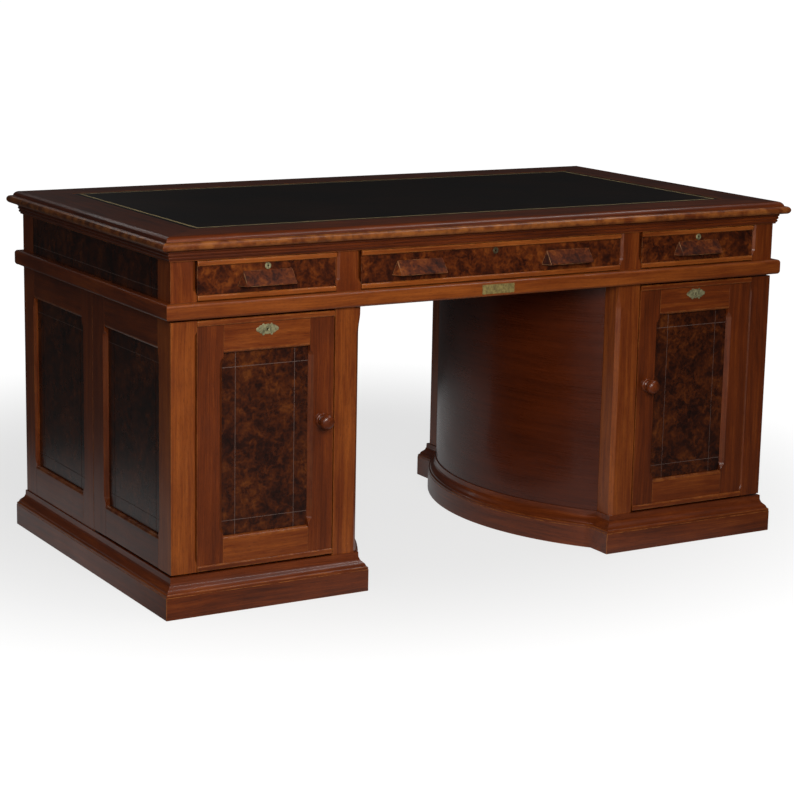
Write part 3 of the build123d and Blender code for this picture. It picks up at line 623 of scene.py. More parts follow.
# %% The pen, and mitred rails
class Pen:
    """Draws an outline from vertex to vertex. up is the second direction on the paper."""

    def __init__(self, bench, start, up="z"):
        self.bench = bench
        self.up = SIDES["head"] if up == "z" else SIDES["back"]
        self.clockwise = SIDES["back"] if up == "z" else SIDES["foot"]
        self.tip = bench.bm.verts.new(self.point(start))

    def point(self, place):
        return Vector((place[0], 0, 0)) + self.up * place[1]

    def line(self, *places):
        for place in places:
            self.tip = bmesh.ops.extrude_vert_indiv(self.bench.bm, verts=[self.tip])["verts"][0]
            self.tip.co = self.point(place)
        return self

    def curve(self, place, bulge, steps):
        """An arc to a place. It swells to the left of the way there where bulge is above 0."""
        start, end = self.tip.co.copy(), self.point(place)
        chord = end - start
        radius = (chord.length_squared / 4 + bulge**2) / (2 * abs(bulge))
        side = 1 if bulge > 0 else -1
        left = chord.normalized().cross(self.clockwise) * side
        centre = (start + end) / 2 - left * (radius - abs(bulge))
        sweep = 2 * asin(min(1, chord.length / 2 / radius)) * side
        spun = bmesh.ops.spin(self.bench.bm, geom=[self.tip], cent=centre, axis=self.clockwise,
                              angle=sweep, steps=steps, use_merge=False)
        self.tip = spun["geom_last"][0]
        return self

    def fill(self):
        """Joins the outline's ends and makes it a face."""
        loose = [vert for vert in self.bench.bm.verts if not vert.link_faces]
        bmesh.ops.remove_doubles(self.bench.bm, verts=loose, dist=0.01 * MM)
        edges = [edge for edge in self.bench.bm.edges if not edge.link_faces]
        return bmesh.ops.contextual_create(self.bench.bm, geom=edges)["faces"][0]


def mitred_rails(bench, outer, widths, foot, section, tones, rubbed=0):
    """Four rails round the desk. outer and widths are (side, front). section(width) draws one.
    Outer faces lower than rubbed are worn."""
    for number in range(4):
        reach, length = (outer[0], outer[1]) if number % 2 == 0 else (outer[1], outer[0])
        width, other = widths if number % 2 == 0 else widths[::-1]
        face = section(width)
        slope = Matrix.Identity(4)
        slope[1][0] = -other / width
        slope[1][3] = -length
        bmesh.ops.transform(bench.bm, matrix=slope, verts=face.verts)
        far_end = bench.extrude([face])[1]
        bmesh.ops.scale(bench.bm, vec=(1, -1, 1), verts=far_end)
        bmesh.ops.recalc_face_normals(bench.bm, faces=bench.fresh())
        sharp = [edge for edge in bench.fresh_edges()
                 if abs((edge.verts[0].co - edge.verts[1].co).normalized().y) > 0.99
                 and edge.is_convex and edge.calc_face_angle() > radians(40)]
        bench.soften(sharp, ARRIS, 2, 1.0)
        for rail_face in bench.fresh():
            if rail_face.normal.x > 0.3 and rail_face.calc_center_median().z < rubbed:
                rail_face[bench.mark] = 0.95
        bench.place = Matrix.Rotation(pi / 2 * number, 4, "Z") @ Matrix.Translation((reach, 0, foot))
        bench.settle("y", tones[number % 2])
    bench.place = Matrix.Identity(4)


print("bench and pen ready")

# %% [markdown]
# ## The top
# The border of the top is four walnut boards, mitred at the corners round the leather. The edge is a
# half-round nose with a thumbnail curve above it, worn light where arms have rested.

# %% The border of the top
nose_height = 17 * MM
thumb_step = 3 * MM
thumb_width = 14 * MM
thumb_bulge = 3.4 * MM


def border_section(width):
    thickness = desk_height - top_foot
    nose = nose_height / 2
    step_x = -nose - thumb_step
    pen = Pen(top_bench, (-nose, 0)).line((-width, 0), (-width, thickness))
    pen.line((step_x - thumb_width, thickness)).curve((step_x, nose_height), thumb_bulge, 8)
    return pen.line((-nose, nose_height)).curve((-nose, 0), nose, 12).fill()


top_bench = Joinery()
widths = (top_high.x - leather_high.x, top_high.y - leather_high.y)
mitred_rails(top_bench, (top_high.x, top_high.y), widths, top_foot, border_section, (0.15, 0.3),
             rubbed=nose_height)
top_bench.piece("top_border_boards", "carcass", "walnut", walnut, "top_border")

# %% [markdown]
# ## Reeded moulding and waist rail
# Under the top a row of reeds steps outwards as it rises. Between the frieze and the pedestals runs the
# waist rail, a thick board with its two outer edges rounded over.

# %% Moulding under the top, and waist rail
reeds = 3
reed_fillet = 3 * MM
reed_bulge = 2 * MM
bed_projection = 7 * MM
bed_width = 40 * MM
bed_bench = Joinery()


def bed_section(width):
    step = (bed_projection - reed_fillet) / reeds
    rise = (top_foot - bed_foot - reed_fillet) / reeds
    foot_x = reed_fillet - bed_projection
    pen = Pen(bed_bench, (-width, 0)).line((foot_x, 0), (foot_x, reed_fillet))
    for reed in range(1, reeds + 1):
        pen.curve((foot_x + reed * step, reed_fillet + reed * rise), -reed_bulge, 6)
    return pen.line((-width, top_foot - bed_foot), (-width, 0)).fill()


mitred_rails(bed_bench, (bed_high.x, bed_high.y), (bed_width, bed_width), bed_foot, bed_section,
             (0.25, 0.3))
bed_bench.piece("bed_moulding_rails", "carcass", "walnut", walnut, "bed_moulding")

waist_rounding = 7 * MM
quarter_bulge = 0.29  # how far a quarter round swells from its chord, as a share of its radius
waist_bench = Joinery()


def waist_section(width):
    height = frieze_foot - waist_foot
    soft = waist_rounding
    pen = Pen(waist_bench, (-width, 0)).line((-soft, 0)).curve((0, soft), -soft * quarter_bulge, 6)
    pen.line((0, height - soft)).curve((-soft, height), -soft * quarter_bulge, 6)
    return pen.line((-width, height), (-width, 0)).fill()


waist_widths = (70 * MM, 90 * MM)
mitred_rails(waist_bench, (waist_high.x, waist_high.y), waist_widths, waist_foot, waist_section,
             (0.45, 0.75))
waist_bench.piece("waist_moulding_rails", "carcass", "walnut", walnut, "waist_rails")

# %% [markdown]
# ## Plinths
# Each pedestal stands on a plinth that follows its plan: square at the outside, and a long curve in the
# kneehole between two square blocks. The plan is drawn once with the pen. Insetting it and lifting it by
# turns makes the moulding, because an inset keeps every side the same distance in.

# %% Plinths and their mouldings
plinth_projection = plinth_high.x - body_x
plinth_wall = 44 * MM
strip_inset = 1 * MM
strip_edge = 3.5 * MM  # the square edge at the moulding's foot
ogee_foot, ogee_height, ogee_reach = 7 * MM, 16 * MM, 10.5 * MM
ogee_steps = 10
arc_steps = 44
turn_band = 45 * MM  # how near an outer face the grain follows it


def pedestal_plan(bench, side, grow):
    """The outline of one pedestal, grown outwards."""
    radius = wall_radius + grow
    near, far = side * (knee_x - grow), side * (body_x + grow)
    corner_y = (radius**2 - (pivot_x - knee_x + grow) ** 2) ** 0.5
    bulge = radius - (pivot_x - knee_x + grow)
    pen = Pen(bench, (near, -corner_y), "y")
    pen.curve((near, corner_y), bulge * side, arc_steps)
    half = body_y + grow
    return pen.line((near, half), (far, half), (far, -half), (near, -half), (near, -corner_y)).fill()


def plan_grain(side):
    """Grain that runs round the plinth: along the front, along the side and round the curve."""
    def where(point, face):
        centre = face.calc_center_median()
        along_front = abs(face.normal.y) > 1.2 * abs(face.normal.x)
        if abs(face.normal.z) > 0.8:
            along_front = abs(centre.y) > body_y - turn_band
        if along_front:
            return point.copy()
        if abs(centre.x) > body_x - turn_band:
            return Vector((point.y, point.x, point.z))
        around = atan2(point.y, -side * (point.x - side * pivot_x))
        return Vector((around * wall_radius, hypot(point.x - side * pivot_x, point.y), point.z))
    return where


for side, name in ACROSS.items():
    bench = Joinery()
    plan = pedestal_plan(bench, side, plinth_projection)
    ring = bmesh.ops.inset_region(bench.bm, faces=[plan], thickness=plinth_wall, use_even_offset=True,
                                  use_boundary=True)
    bmesh.ops.delete(bench.bm, geom=[plan], context="FACES_ONLY")
    bench.pull(ring["faces"], (0, 0, plinth_high.z))
    bmesh.ops.recalc_face_normals(bench.bm, faces=bench.fresh())
    bench.take_off_arris(1.4 * MM)
    bench.settle(plan_grain(side), 0.35)
    bench.piece(f"{name}_plinth_boards", "carcass", "walnut", walnut, f"{name}_plinth")

moulding_bench = Joinery()
for side in ACROSS:
    start = plinth_projection - strip_inset
    plan = pedestal_plan(moulding_bench, side, start)
    bmesh.ops.translate(moulding_bench.bm, vec=(0, 0, plinth_high.z), verts=plan.verts)
    top = moulding_bench.pull([plan], (0, 0, strip_edge))
    bmesh.ops.recalc_face_normals(moulding_bench.bm, faces=moulding_bench.fresh())
    moulding_bench.bm.normal_update()
    profile = [(start - 1.2 * MM, 5.5 * MM)]
    for step in range(ogee_steps + 1):
        turn = step / ogee_steps
        inwards = ogee_reach * (turn - sin(2 * pi * turn) / 9)
        profile.append((start - strip_edge - inwards, ogee_foot + ogee_height * turn))
    profile += [(3 * MM, 24.5 * MM), (2.6 * MM, plinth_top - plinth_high.z)]
    before = (start, strip_edge)
    for projection, level in profile:
        bmesh.ops.inset_region(moulding_bench.bm, faces=top, thickness=before[0] - projection,
                               depth=level - before[1], use_even_offset=True)
        before = (projection, level)
    bmesh.ops.inset_region(moulding_bench.bm, faces=top, thickness=30 * MM, use_even_offset=True)
    moulding_bench.pull(top, (0, 0, -20 * MM))
    bmesh.ops.recalc_face_normals(moulding_bench.bm, faces=moulding_bench.fresh())
    for face in moulding_bench.fresh():
        level = face.calc_center_median().z - plinth_high.z
        if 3.4 * MM < level < 6 * MM and abs(face.normal.z) < 0.9:
            face[moulding_bench.mark] = 0.55
    moulding_bench.settle(plan_grain(side), 0.4)
moulding_bench.piece("plinth_moulding_strips", "carcass", "walnut", walnut, "plinth_mouldings")

# %% [markdown]
# ## Posts and curved walls
# Posts stand at the corners of each pedestal. Their corners are chamfered between stops, and each stop
# ends in a lamb's tongue, the small ogee that runs a chamfer out to a square corner. The tongues are long
# in the kneehole and short beside the panels. The curved wall is veneer bent round the swing of the
# case, with its grain lying level.

# %% Posts and curved walls
kneehole_chamfer = 8 * MM
kneehole_tongue = 45 * MM
post_chamfer = 5 * MM
stop_margin = 3 * MM
knob_post = (knee_x, door_x0)
kneehole_stops = (plinth_top + 4 * MM, waist_foot - 55 * MM, kneehole_tongue)


def stops_in(opening):
    """A chamfer beside a panel: its foot, its head and its tongues, which end inside the opening."""
    return opening[0] + STOP_LENGTH + stop_margin, opening[1] - STOP_LENGTH - stop_margin, STOP_LENGTH


panel_stops = stops_in(side_opening)
posts = Joinery()
for side, outside in ACROSS.items():
    for end, face in ALONG.items():
        posts.board([side * x for x in knob_post], (end * post_y, end * body_y), (plinth_top, waist_foot),
                    "z", 0.72, corners={f"{face} {ACROSS[-side]}": kneehole_stops},
                    chamfer=kneehole_chamfer)
    posts.board((side * door_x1, side * body_x), (side_post_y, body_y), (plinth_top, waist_foot), "z", 0.55,
                corners={f"front {outside}": panel_stops}, chamfer=post_chamfer)
posts.piece("pedestal_posts", "carcass", "walnut", walnut, "fixed_posts")


def curved_grain(side):
    def where(point, face):
        away = point - Vector((side * pivot_x, 0, 0))
        return Vector((atan2(away.y, -side * away.x) * wall_radius, point.z, hypot(away.x, away.y)))
    return where


wall_thickness = 12 * MM
wall_inner = wall_radius - wall_thickness
for side, name in ACROSS.items():
    bench = Joinery()
    sweep = 2 * asin(post_y / wall_radius)
    pen = Pen(bench, (wall_inner, plinth_top)).line((wall_radius, plinth_top), (wall_radius, waist_foot))
    section = pen.line((wall_inner, waist_foot), (wall_inner, plinth_top)).fill()
    start = Matrix.Rotation((pi if side > 0 else 0) - sweep / 2, 4, "Z")
    bmesh.ops.transform(bench.bm, matrix=start, verts=section.verts)
    parts = list(section.verts) + list(section.edges) + [section]
    bmesh.ops.spin(bench.bm, geom=parts, cent=(0, 0, 0), axis=(0, 0, 1), angle=sweep, steps=72)
    bmesh.ops.translate(bench.bm, vec=(side * pivot_x, 0, 0), verts=bench.fresh_verts())
    bmesh.ops.recalc_face_normals(bench.bm, faces=bench.fresh())
    bench.settle(curved_grain(side), 0.3)
    bench.piece(f"{name}_curved_panel", "carcass", "walnut", bent_walnut, f"{name}_curved_wall")

# %% [markdown]
# ## Frames with sunk panels
# A frame is two stiles and two rails round a thinner panel. The stiles' inner edges are chamfered
# between stops. The rails' inner edges are rounded. The burl panel lies deeper, and fine lines are cut
# into it that cross near its corners.

# %% How a frame is made
stile_chamfer = 8.5 * MM
rail_round = 7 * MM
line_in = 30 * MM
FRONT = Matrix.Translation((0, -body_y, 0))
BACK = Matrix.Translation((0, body_y, 0)) @ Matrix.Rotation(pi, 4, "Z")


def side_place(side):
    return Matrix.Translation((side * body_x, 0, 0)) @ Matrix.Rotation(side * pi / 2, 4, "Z")


def framed_panel(framing, panels, across, up, stiles, opening, tones, well=None):
    """Stiles, rails and panel. across and up are spans, and a stile of 0 leaves that side to a post."""
    inner = (across[0] + stiles[0], across[1] - stiles[1])
    depth = (0, frame_thickness)
    ends = stops_in(opening)
    for span, corner in (((across[0], inner[0]), "front right"), ((inner[1], across[1]), "front left")):
        if span[1] - span[0] > 1 * MM:
            framing.board(span, depth, up, "z", tones[0], corners={corner: ends}, chamfer=stile_chamfer)
    framing.board(inner, depth, (up[0], opening[0]), "x", tones[1], rounds=[("front head", rail_round)])
    framing.board(inner, depth, (opening[1], up[1]), "x", tones[1], rounds=[("front foot", rail_round)],
                  well=well)
    lines = [("x", inner[0] + line_in), ("x", inner[1] - line_in),
             ("z", opening[0] + line_in), ("z", opening[1] - line_in)]
    panels.board([inner[0] - tongue / 2, inner[1] + tongue / 2], (panel_sink, panel_sink + panel_thickness),
                 [opening[0] - tongue / 2, opening[1] + tongue / 2], "z", lines=lines, arris=0)


def on_side(side, near, far):
    """A span along the side of the desk, seen from outside."""
    return sorted((side * near, side * far))


# %% Fixed frames at the sides and the back
rear_stile = 57 * MM
rear_gap = 0.8 * MM
back_stiles = (58 * MM, 55 * MM)
rear_frames, back_frames, rear_panels = Joinery(), Joinery(), Joinery()
for side in ACROSS:
    rear_frames.place = rear_panels.place = side_place(side)
    stiles = (rear_stile, 0) if side > 0 else (0, rear_stile)
    framed_panel(rear_frames, rear_panels, on_side(side, rear_gap, side_post_y), (plinth_top, waist_foot),
                 stiles, side_opening, (0.55, 0.4))
    back_frames.place = rear_panels.place = BACK
    stiles = back_stiles if side > 0 else back_stiles[::-1]
    framed_panel(back_frames, rear_panels, on_side(-side, door_x0, door_x1), (plinth_top, waist_foot),
                 stiles, side_opening, (0.4, 0.6))
rear_frames.piece("rear_side_framing", "carcass", "walnut", shaded_side_walnut, "rear_side_frames")
back_frames.piece("back_framing", "carcass", "walnut", walnut, "back_frames")
rear_panels.piece("rear_burl_panels", "carcass", "burl_walnut", dark_burl, "rear_panels")

# %% [markdown]
# ## Frieze
# The frieze stands on the waist rail: corner posts, dividers between the drawers, and burl boards at the
# sides and the back. The posts' chamfers stop above the waist rail and run up under the top moulding.

# %% Posts and boards of the frieze
frieze_chamfer = 8 * MM
frieze_stop = 26 * MM
divider_depth = 24 * MM
frieze_board = 20 * MM
side_line_insets = (4 * MM, 29 * MM)
side_line_rise = 19 * MM
level_line_inset = 14 * MM
frieze_posts, frieze_boards = Joinery(), Joinery()
frieze_span = (frieze_foot, bed_foot)
frieze_stops = (frieze_foot + frieze_stop, bed_foot + STOP_LENGTH, STOP_LENGTH)
level_lines = [("z", frieze_foot + level_line_inset), ("z", bed_foot - level_line_inset)]
for side in ACROSS:
    for end, face in ALONG.items():
        frieze_posts.board((side * door_x1, side * body_x), (end * side_post_y, end * body_y), frieze_span,
                           "z", 0.5, corners={f"{face} {ACROSS[-side]}": frieze_stops},
                           chamfer=frieze_chamfer)
        frieze_posts.board([side * x for x in knob_post], (end * (body_y - divider_depth), end * body_y),
                           frieze_span, "z", 0.55, chamfer=frieze_chamfer,
                           corners={f"{face} left": frieze_stops, f"{face} right": frieze_stops})
    frieze_boards.place = side_place(side)
    side_lines = [("x", end * (side_post_y - inset)) for end in ALONG for inset in side_line_insets]
    frieze_boards.board((-side_post_y, side_post_y), (0, frieze_board), frieze_span, "z",
                        lines=side_lines + [("z", frieze_foot + side_line_rise)], arris=0)
    frieze_boards.place = BACK
    frieze_boards.board([side * door_x0, side * door_x1], (0, frieze_board), frieze_span, "z",
                        lines=level_lines)
frieze_boards.board((-knee_x, knee_x), (0, frieze_board), frieze_span, "z", lines=level_lines)
frieze_posts.piece("frieze_post_blocks", "carcass", "walnut", walnut, "frieze_posts")
frieze_boards.piece("frieze_burl_boards", "carcass", "burl_walnut", dark_burl, "frieze_panels")

# %% [markdown]
# ## The turning cases
# A case carries the front frame, the corner post and the front half of the side. A rounded strip runs
# across the head and the foot of the front. It all rides on the case's body, so that it turns as one.

# %% Fronts, posts and sides of the cases
bead_height = 12 * MM
bead_projection = 3.5 * MM
bead_round = 3.2 * MM
knob_edge_gap = 1 * MM  # planed off the door beside its post, so that the case turns freely
door_stops = (case_foot + 28 * MM, case_head - 34 * MM, STOP_LENGTH)
knob_stile, post_stile = 55 * MM, 58 * MM
side_stile = 63 * MM
key_well = (6 * MM, 9 * MM)
case_span = (case_foot, case_head)
for side, name in ACROSS.items():
    body = f"{name}_case"
    lock = middle_of(f"{name}_case_lock")
    framing, panels = Joinery(FRONT), Joinery(FRONT)
    across = sorted((side * (door_low.x + knob_edge_gap), side * door_x1))
    stiles = (knob_stile, post_stile) if side > 0 else (post_stile, knob_stile)
    painted_shade = 0.0 if side < 0 else 0.16  # painted shade: the right case's boards are toned darker to stand for the weaker light on it
    framed_panel(framing, panels, across, case_span, stiles, front_opening,
                 (0.36 - painted_shade / 2, 0.66 - painted_shade), well=(lock.x, lock.z, *key_well, 15 * MM))
    for foot in (case_foot, case_head - bead_height):
        framing.board(across, (-bead_projection, 3 * MM), (foot, foot + bead_height), "x", 0.62,
                      rounds=[("front head", bead_round), ("front foot", bead_round)])
    framing.piece(f"{name}_case_front_framing", body, "walnut", walnut, f"{name}_case_front_frame")
    panels.piece(f"{name}_case_front_burl", body, "burl_walnut", door_burl, f"{name}_case_front_panel")
    # The right corner post takes the most of the painted shade.
    corner = Joinery()
    corner.board((side * door_x1, side * body_x), (-body_y, -side_post_y), case_span, "z",
                 0.78 - 2.5 * painted_shade, chamfer=post_chamfer,
                 corners={f"front {ACROSS[-side]}": door_stops, f"back {name}": panel_stops})
    corner.piece(f"{name}_case_corner_post", body, "walnut", walnut, f"{name}_case_post")
    framing, panels = Joinery(side_place(side)), Joinery(side_place(side))
    stiles = (0, side_stile) if side > 0 else (side_stile, 0)
    framed_panel(framing, panels, on_side(side, -side_post_y, 0), case_span, stiles, side_opening,
                 (0.45, 0.35))
    framing.piece(f"{name}_case_side_framing", body, "walnut", shaded_side_walnut, f"{name}_case_side_frame")
    panels.piece(f"{name}_case_side_burl", body, "burl_walnut", dark_burl, f"{name}_case_side_panel")

# %% [markdown]
# ## Drawer fronts and pulls
# Each drawer front is a burl board between two rounded strips. A pull is a wedge cut from the solid: it
# stands out towards its foot, where the fingers catch it, and both ends slope in like the hips of a roof.

# %% Drawer fronts and pulls
strip_height = 11 * MM
strip_projection = 3.5 * MM
strip_round = 3.4 * MM
pull_half = 66.5 * MM
pull_hip = radians(30)
pull_lip = 3.5 * MM
pull_lean = 0.417  # how far each end leans in for each metre of height
for name in ("left", "centre", "right"):
    body = f"{name}_drawer"
    low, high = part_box(f"{name}_drawer_front")
    lock = middle_of(f"{name}_drawer_lock")
    face = Joinery()
    face.board((low.x, high.x), (-body_y + 1 * MM, high.y), (low.z, high.z), "z", arris=0.5 * MM,
               well=(lock.x, lock.z, *key_well, 12 * MM))
    face.piece(f"{name}_drawer_burl_face", body, "burl_walnut", burl, f"{name}_drawer_front")
    strips = Joinery()
    for foot in (low.z, high.z - strip_height):
        strips.board((low.x, high.x), (-body_y - strip_projection, -body_y + 3 * MM),
                     (foot, foot + strip_height), "x", 0.9, arris=1.5 * MM,
                     rounds=[("front head", strip_round), ("front foot", strip_round)])
    strips.piece(f"{name}_drawer_strips", body, "walnut", walnut)
    low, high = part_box(f"{name}_drawer_pulls")
    middle, size = (low + high) / 2, high - low
    pulls = Joinery()
    for centre in [middle.x] if name != "centre" else [low.x + pull_half, high.x - pull_half]:
        shape = Matrix.Translation((centre, middle.y, middle.z))
        shape = shape @ Matrix.Diagonal((2 * pull_half, size.y, size.z, 1))
        for vert in bmesh.ops.create_cube(pulls.bm, size=1, matrix=shape)["verts"]:
            end = 1 if vert.co.x > centre else -1
            if vert.co.y < middle.y:
                vert.co.x -= end * tan(pull_hip) * size.y
                vert.co.z = min(vert.co.z, low.z + pull_lip)
            elif vert.co.z > middle.z:
                vert.co.x -= end * pull_lean * size.z
        pulls.bm.normal_update()
        pulls.take_off_arris(1.2 * MM)
        pulls.settle("x", 0.5)
    pulls.piece(f"{name}_drawer_wedge_pulls", body, "burl_walnut", pull_burl, f"{name}_drawer_pulls")

# %% [markdown]
# ## Turned knobs
# Each knob is turned on a lathe: a flat base, a narrow neck and a ball with a small flat at its end. The
# half section is drawn with the pen and spun once round.

# %% Knobs
for side, name in ACROSS.items():
    centre = middle_of(f"{name}_case_knob")
    reach = -body_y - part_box(f"{name}_case_knob")[0].y
    knob = Joinery()
    pen = Pen(knob, (0, 0)).line((15 * MM, 0), (15 * MM, 2.2 * MM)).curve((9.5 * MM, 5.5 * MM), -2 * MM, 5)
    pen.line((7.2 * MM, 7.2 * MM)).curve((8.5 * MM, 12 * MM), 1.2 * MM, 4)
    pen.curve((5 * MM, reach - 0.6 * MM), -9.2 * MM, 14).curve((0, reach), -0.5 * MM, 3)
    bmesh.ops.spin(knob.bm, geom=list(knob.bm.verts) + list(knob.bm.edges), cent=(0, 0, 0),
                   axis=(0, 0, 1), angle=2 * pi, steps=36, use_merge=True)
    bmesh.ops.remove_doubles(knob.bm, verts=knob.bm.verts, dist=0.01 * MM)
    bmesh.ops.dissolve_degenerate(knob.bm, edges=knob.bm.edges, dist=0.01 * MM)
    knob.place = Matrix.Translation((centre.x, -body_y, centre.z)) @ Matrix.Rotation(pi / 2, 4, "X")
    knob.settle("z", 0.3)
    knob.piece(f"{name}_case_turned_knob", f"{name}_case", "walnut", walnut, f"{name}_case_knob")

# %% [markdown]
# ## Brass plates
# A keyhole plate is thin sheet brass with a pierced keyhole and a raised ring round it. It is made of
# closed loops with equal numbers of points, bridged one to the next from the back of the rim, over the
# face and down through the keyhole. The name plate is a blank strip of brass on two round pins.

# %% Keyhole plates and the name plate
plate_points = 96
small_plate = 6.75 * MM
ring_radii = (5.6 * MM, 5.0 * MM, 4.0 * MM)
key_radius = 2.3 * MM
lobes = ((0, 0, 10.5), (12.5, 0, 8.5), (20.5, 0, 4.5), (9, -9.5, 3), (9, 9, 2.5))  # across, up, radius


def lobed(turn):
    """How far the outline of the large plate lies from its middle: the furthest of its round lobes."""
    best = 0
    for across, up, radius in lobes:
        for x in (across, -across):
            forward = x * cos(turn) + up * sin(turn)
            aside = -x * sin(turn) + up * cos(turn)
            if abs(aside) < radius:
                best = max(best, forward + (radius**2 - aside**2) ** 0.5)
    return best * MM


def keyhole(turn):
    """A round eye over a slot with a flat foot."""
    down = -sin(turn)
    if down < 0.9:
        return key_radius
    in_foot = abs(cos(turn)) * 4 < down
    return 2 * key_radius / down if in_foot else 2 * key_radius


def round_of(radius):
    return lambda turn: radius


def loop_of(bench, reach, level, shrink=1.0):
    made = bmesh.ops.create_circle(bench.bm, segments=plate_points, radius=1, cap_ends=False)["verts"]
    for vert in made:
        turn = atan2(vert.co.y, vert.co.x)
        vert.co = Vector((cos(turn), sin(turn), 0)) * reach(turn) * shrink + Vector((0, 0, level))
    return list({edge: None for vert in made for edge in vert.link_edges})


def keyhole_plate(bench, outline, thickness, x, z):
    rise = thickness * 1.7
    loops = [
        loop_of(bench, outline, 0), loop_of(bench, outline, thickness * 0.6),
        loop_of(bench, outline, thickness, 0.94), loop_of(bench, round_of(ring_radii[0]), thickness),
        loop_of(bench, round_of(ring_radii[1]), rise), loop_of(bench, round_of(ring_radii[2]), rise),
        loop_of(bench, keyhole, thickness * 1.2, 0.8), loop_of(bench, keyhole, 0, 0.8),
    ]
    for near, far in zip(loops, loops[1:] + loops[:1]):
        bmesh.ops.bridge_loops(bench.bm, edges=near + far)
    bench.place = Matrix.Translation((x, -body_y, z)) @ Matrix.Rotation(pi / 2, 4, "X")
    bench.settle("x", 0.5)
    bench.place = Matrix.Identity(4)


lock_depth = 10 * MM
for owner in ("left_case", "right_case", "left_drawer", "centre_drawer", "right_drawer"):
    low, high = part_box(f"{owner}_lock")
    middle = middle_of(f"{owner}_lock")
    lock = Joinery()
    outline = lobed if owner.endswith("case") else round_of(small_plate)
    keyhole_plate(lock, outline, -body_y - low.y, middle.x, middle.z)
    lock.board((low.x, high.x), (high.y - lock_depth, high.y), (low.z, high.z), "x", arris=0.5 * MM)
    lock.piece(f"{owner}_keyhole_plate_and_lock", owner, "brass_fittings",
               dark_brass if owner == "centre_drawer" else brass, f"{owner}_lock")

name_pin_x, name_pin_radius = 35 * MM, 1.3 * MM
low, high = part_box("name_plate")
middle = middle_of("name_plate")
plate = Joinery()
plate.board((low.x, high.x), (low.y, high.y), (low.z, high.z), "x", arris=0.4 * MM)
for end in (-1, 1):
    at = Matrix.Translation((middle.x + end * name_pin_x, low.y, middle.z))
    bmesh.ops.create_uvsphere(plate.bm, u_segments=12, v_segments=8, radius=name_pin_radius, matrix=at)
    plate.settle("x", 0.5)
plate.piece("blank_name_plate", "carcass", "brass_fittings", plate_brass, "name_plate")

# %% [markdown]
# ## Finishes for the parts that keep their shape
# The boards inside the desk are plain, and the frame's own shapes are right for them. They only need a
# timber, a leather or a metal, with the grain laid along the length of each.

# %% Finish the remaining parts
kept = {
    "leather_inset": leather, "top_core": inside_timber["x"], "dust_board": inside_timber["x"],
    "pedestal_floors": inside_timber["y"], "partitions": inside_timber["z"],
    "drawer_runners": inside_timber["y"], "lock_keepers": brass, "pivot_bushes": iron,
}
for name in ACROSS.values():
    kept[f"{name}_case_ends"] = inside_timber["x"]
    kept[f"{name}_case_curved_skin"] = skin_walnut
    kept[f"{name}_case_pigeonholes"] = inside_timber["y"]
    kept[f"{name}_case_pivot_pins"] = iron
for name in ("left", "centre", "right"):
    kept[f"{name}_drawer_box"] = inside_timber["y"]
    kept[f"{name}_drawer_bottom"] = inside_timber["x"]
for name, finish in kept.items():
    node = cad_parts[name]
    node.data.materials.clear()
    node.data.materials.append(finish)
print(len(kept), "parts keep their shape")

# %% [markdown]
# ## Floor and light
# The desk stands on a pale floor. The main light is soft and low at the front left, and a weaker one fills
# the left side. Two long thin lights, over the front and high behind, draw bright lines along the rounded
# edges. Old polish mirrors a white floor and turns grey, so the floor is white only to the eye, and a little
# darker near the desk, a painted shadow. In reflections it is dull, apart from a glowing pool round the
# desk, painted light that also lights the desk's foot.

# %% Floor, lights and sky
def area_light(name, place, target, size, power, colour=(1, 1, 1)):
    lamp = bpy.data.lights.new(name, "AREA")
    lamp.shape = "RECTANGLE"
    lamp.size, lamp.size_y = size
    lamp.energy = power
    lamp.color = colour
    holder = bpy.data.objects.new(name, lamp)
    holder.location = place
    holder.rotation_euler = (Vector(target) - Vector(place)).to_track_quat("-Z", "Y").to_euler()
    scene.collection.objects.link(holder)


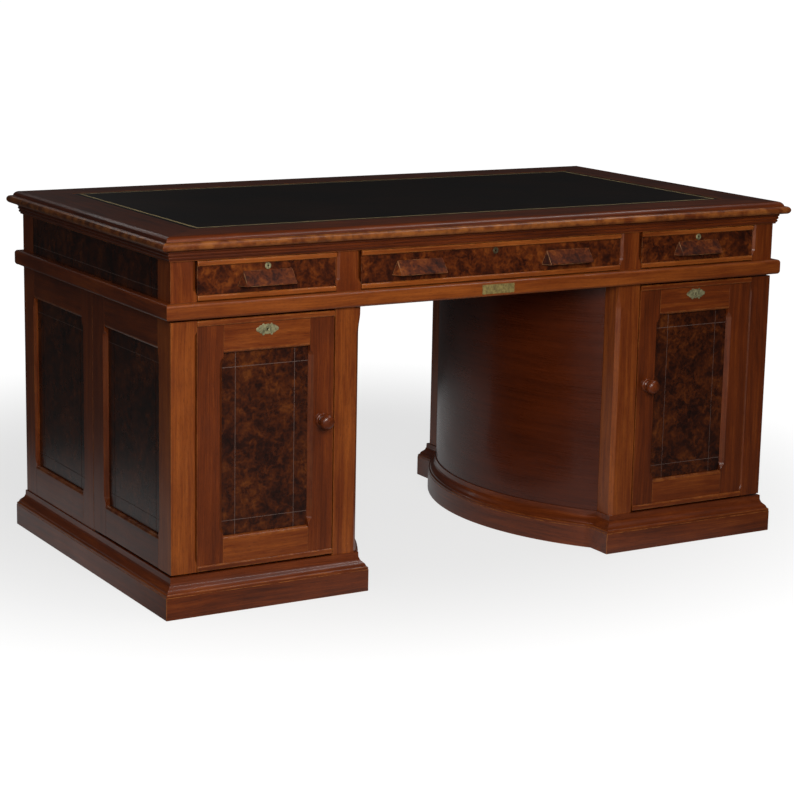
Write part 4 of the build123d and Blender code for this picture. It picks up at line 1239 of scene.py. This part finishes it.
def pale_floor(name):
    """White to the eye, darker near the desk as painted shadow; in reflections dull beyond a painted pool of
    light.
    """
    f = Finish(name)
    place = f.shifted(f.node("ShaderNodeTexCoord", output="Object"), (0.0, -0.45, 0.0))
    away = f.node("ShaderNodeVectorMath", {"operation": "LENGTH"}, {0: place}, "Value")
    # Seen by the eye, the floor is darker nearer the desk, a painted shadow. Seen in reflections and by
    # bounced light, it glows in a pool round the desk, which is painted light.
    seen_shine_with_painted_shadow = away.between(0.7, 1.9) * 0.3 + 0.74
    painted_light_pool = 0.30 - away.between(0.85, 1.3) * 0.29
    seen = f.node("ShaderNodeLightPath", output="Is Camera Ray")
    shine = seen_shine_with_painted_shadow * seen + painted_light_pool * (1 - seen)
    return f.surface(Base_Color=(0.12, 0.12, 0.12, 1), Roughness=0.9, Emission_Color=shine,
                     Emission_Strength=1.0)


floor_bm = bmesh.new()
bmesh.ops.create_grid(floor_bm, x_segments=1, y_segments=1, size=60)
floor_mesh = bpy.data.meshes.new("floor")
floor_bm.to_mesh(floor_mesh)
floor_mesh.materials.append(pale_floor("pale_floor"))
floor = bpy.data.objects.new("floor", floor_mesh)
scene.collection.objects.link(floor)
floor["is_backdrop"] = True

sky = bpy.data.worlds.new("studio")
scene.world = sky
sky.use_nodes = True
background = sky.node_tree.nodes["Background"].inputs
background["Color"].default_value = (1, 1, 1, 1)
background["Strength"].default_value = 0.03
scene.view_settings.view_transform = "Standard"

area_light("key", (-1.0, -2.6, 1.6), (-0.25, 0, 0.4), (1.5, 1.0), 56, (1.0, 0.97, 0.93))
area_light("fill", (-4.2, -3.2, 1.2), (-0.4, 0, 0.4), (1.0, 1.4), 28)
area_light("front_strip", (1.2, -1.2, 2.6), (0, -0.4, 0.6), (2.4, 0.12), 13)
area_light("back_strip", (-0.5, 2.8, 2.1), (-0.7, 0, 0.6), (1.6, 0.16), 1.5)
print(len(bpy.data.lights), "lights")

# %% [markdown]
# ## Close the lesson
# The box round the finished desk is compared with the frame's own box.

# %% Measure and finish
look_box = [list(corner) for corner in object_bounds()]
growth = [round((b - a) * 1000, 1) for a, b in zip(cad_box[0] + cad_box[1], look_box[0] + look_box[1])]
print(boards_cut, "boards; the corners moved by", growth, "mm")
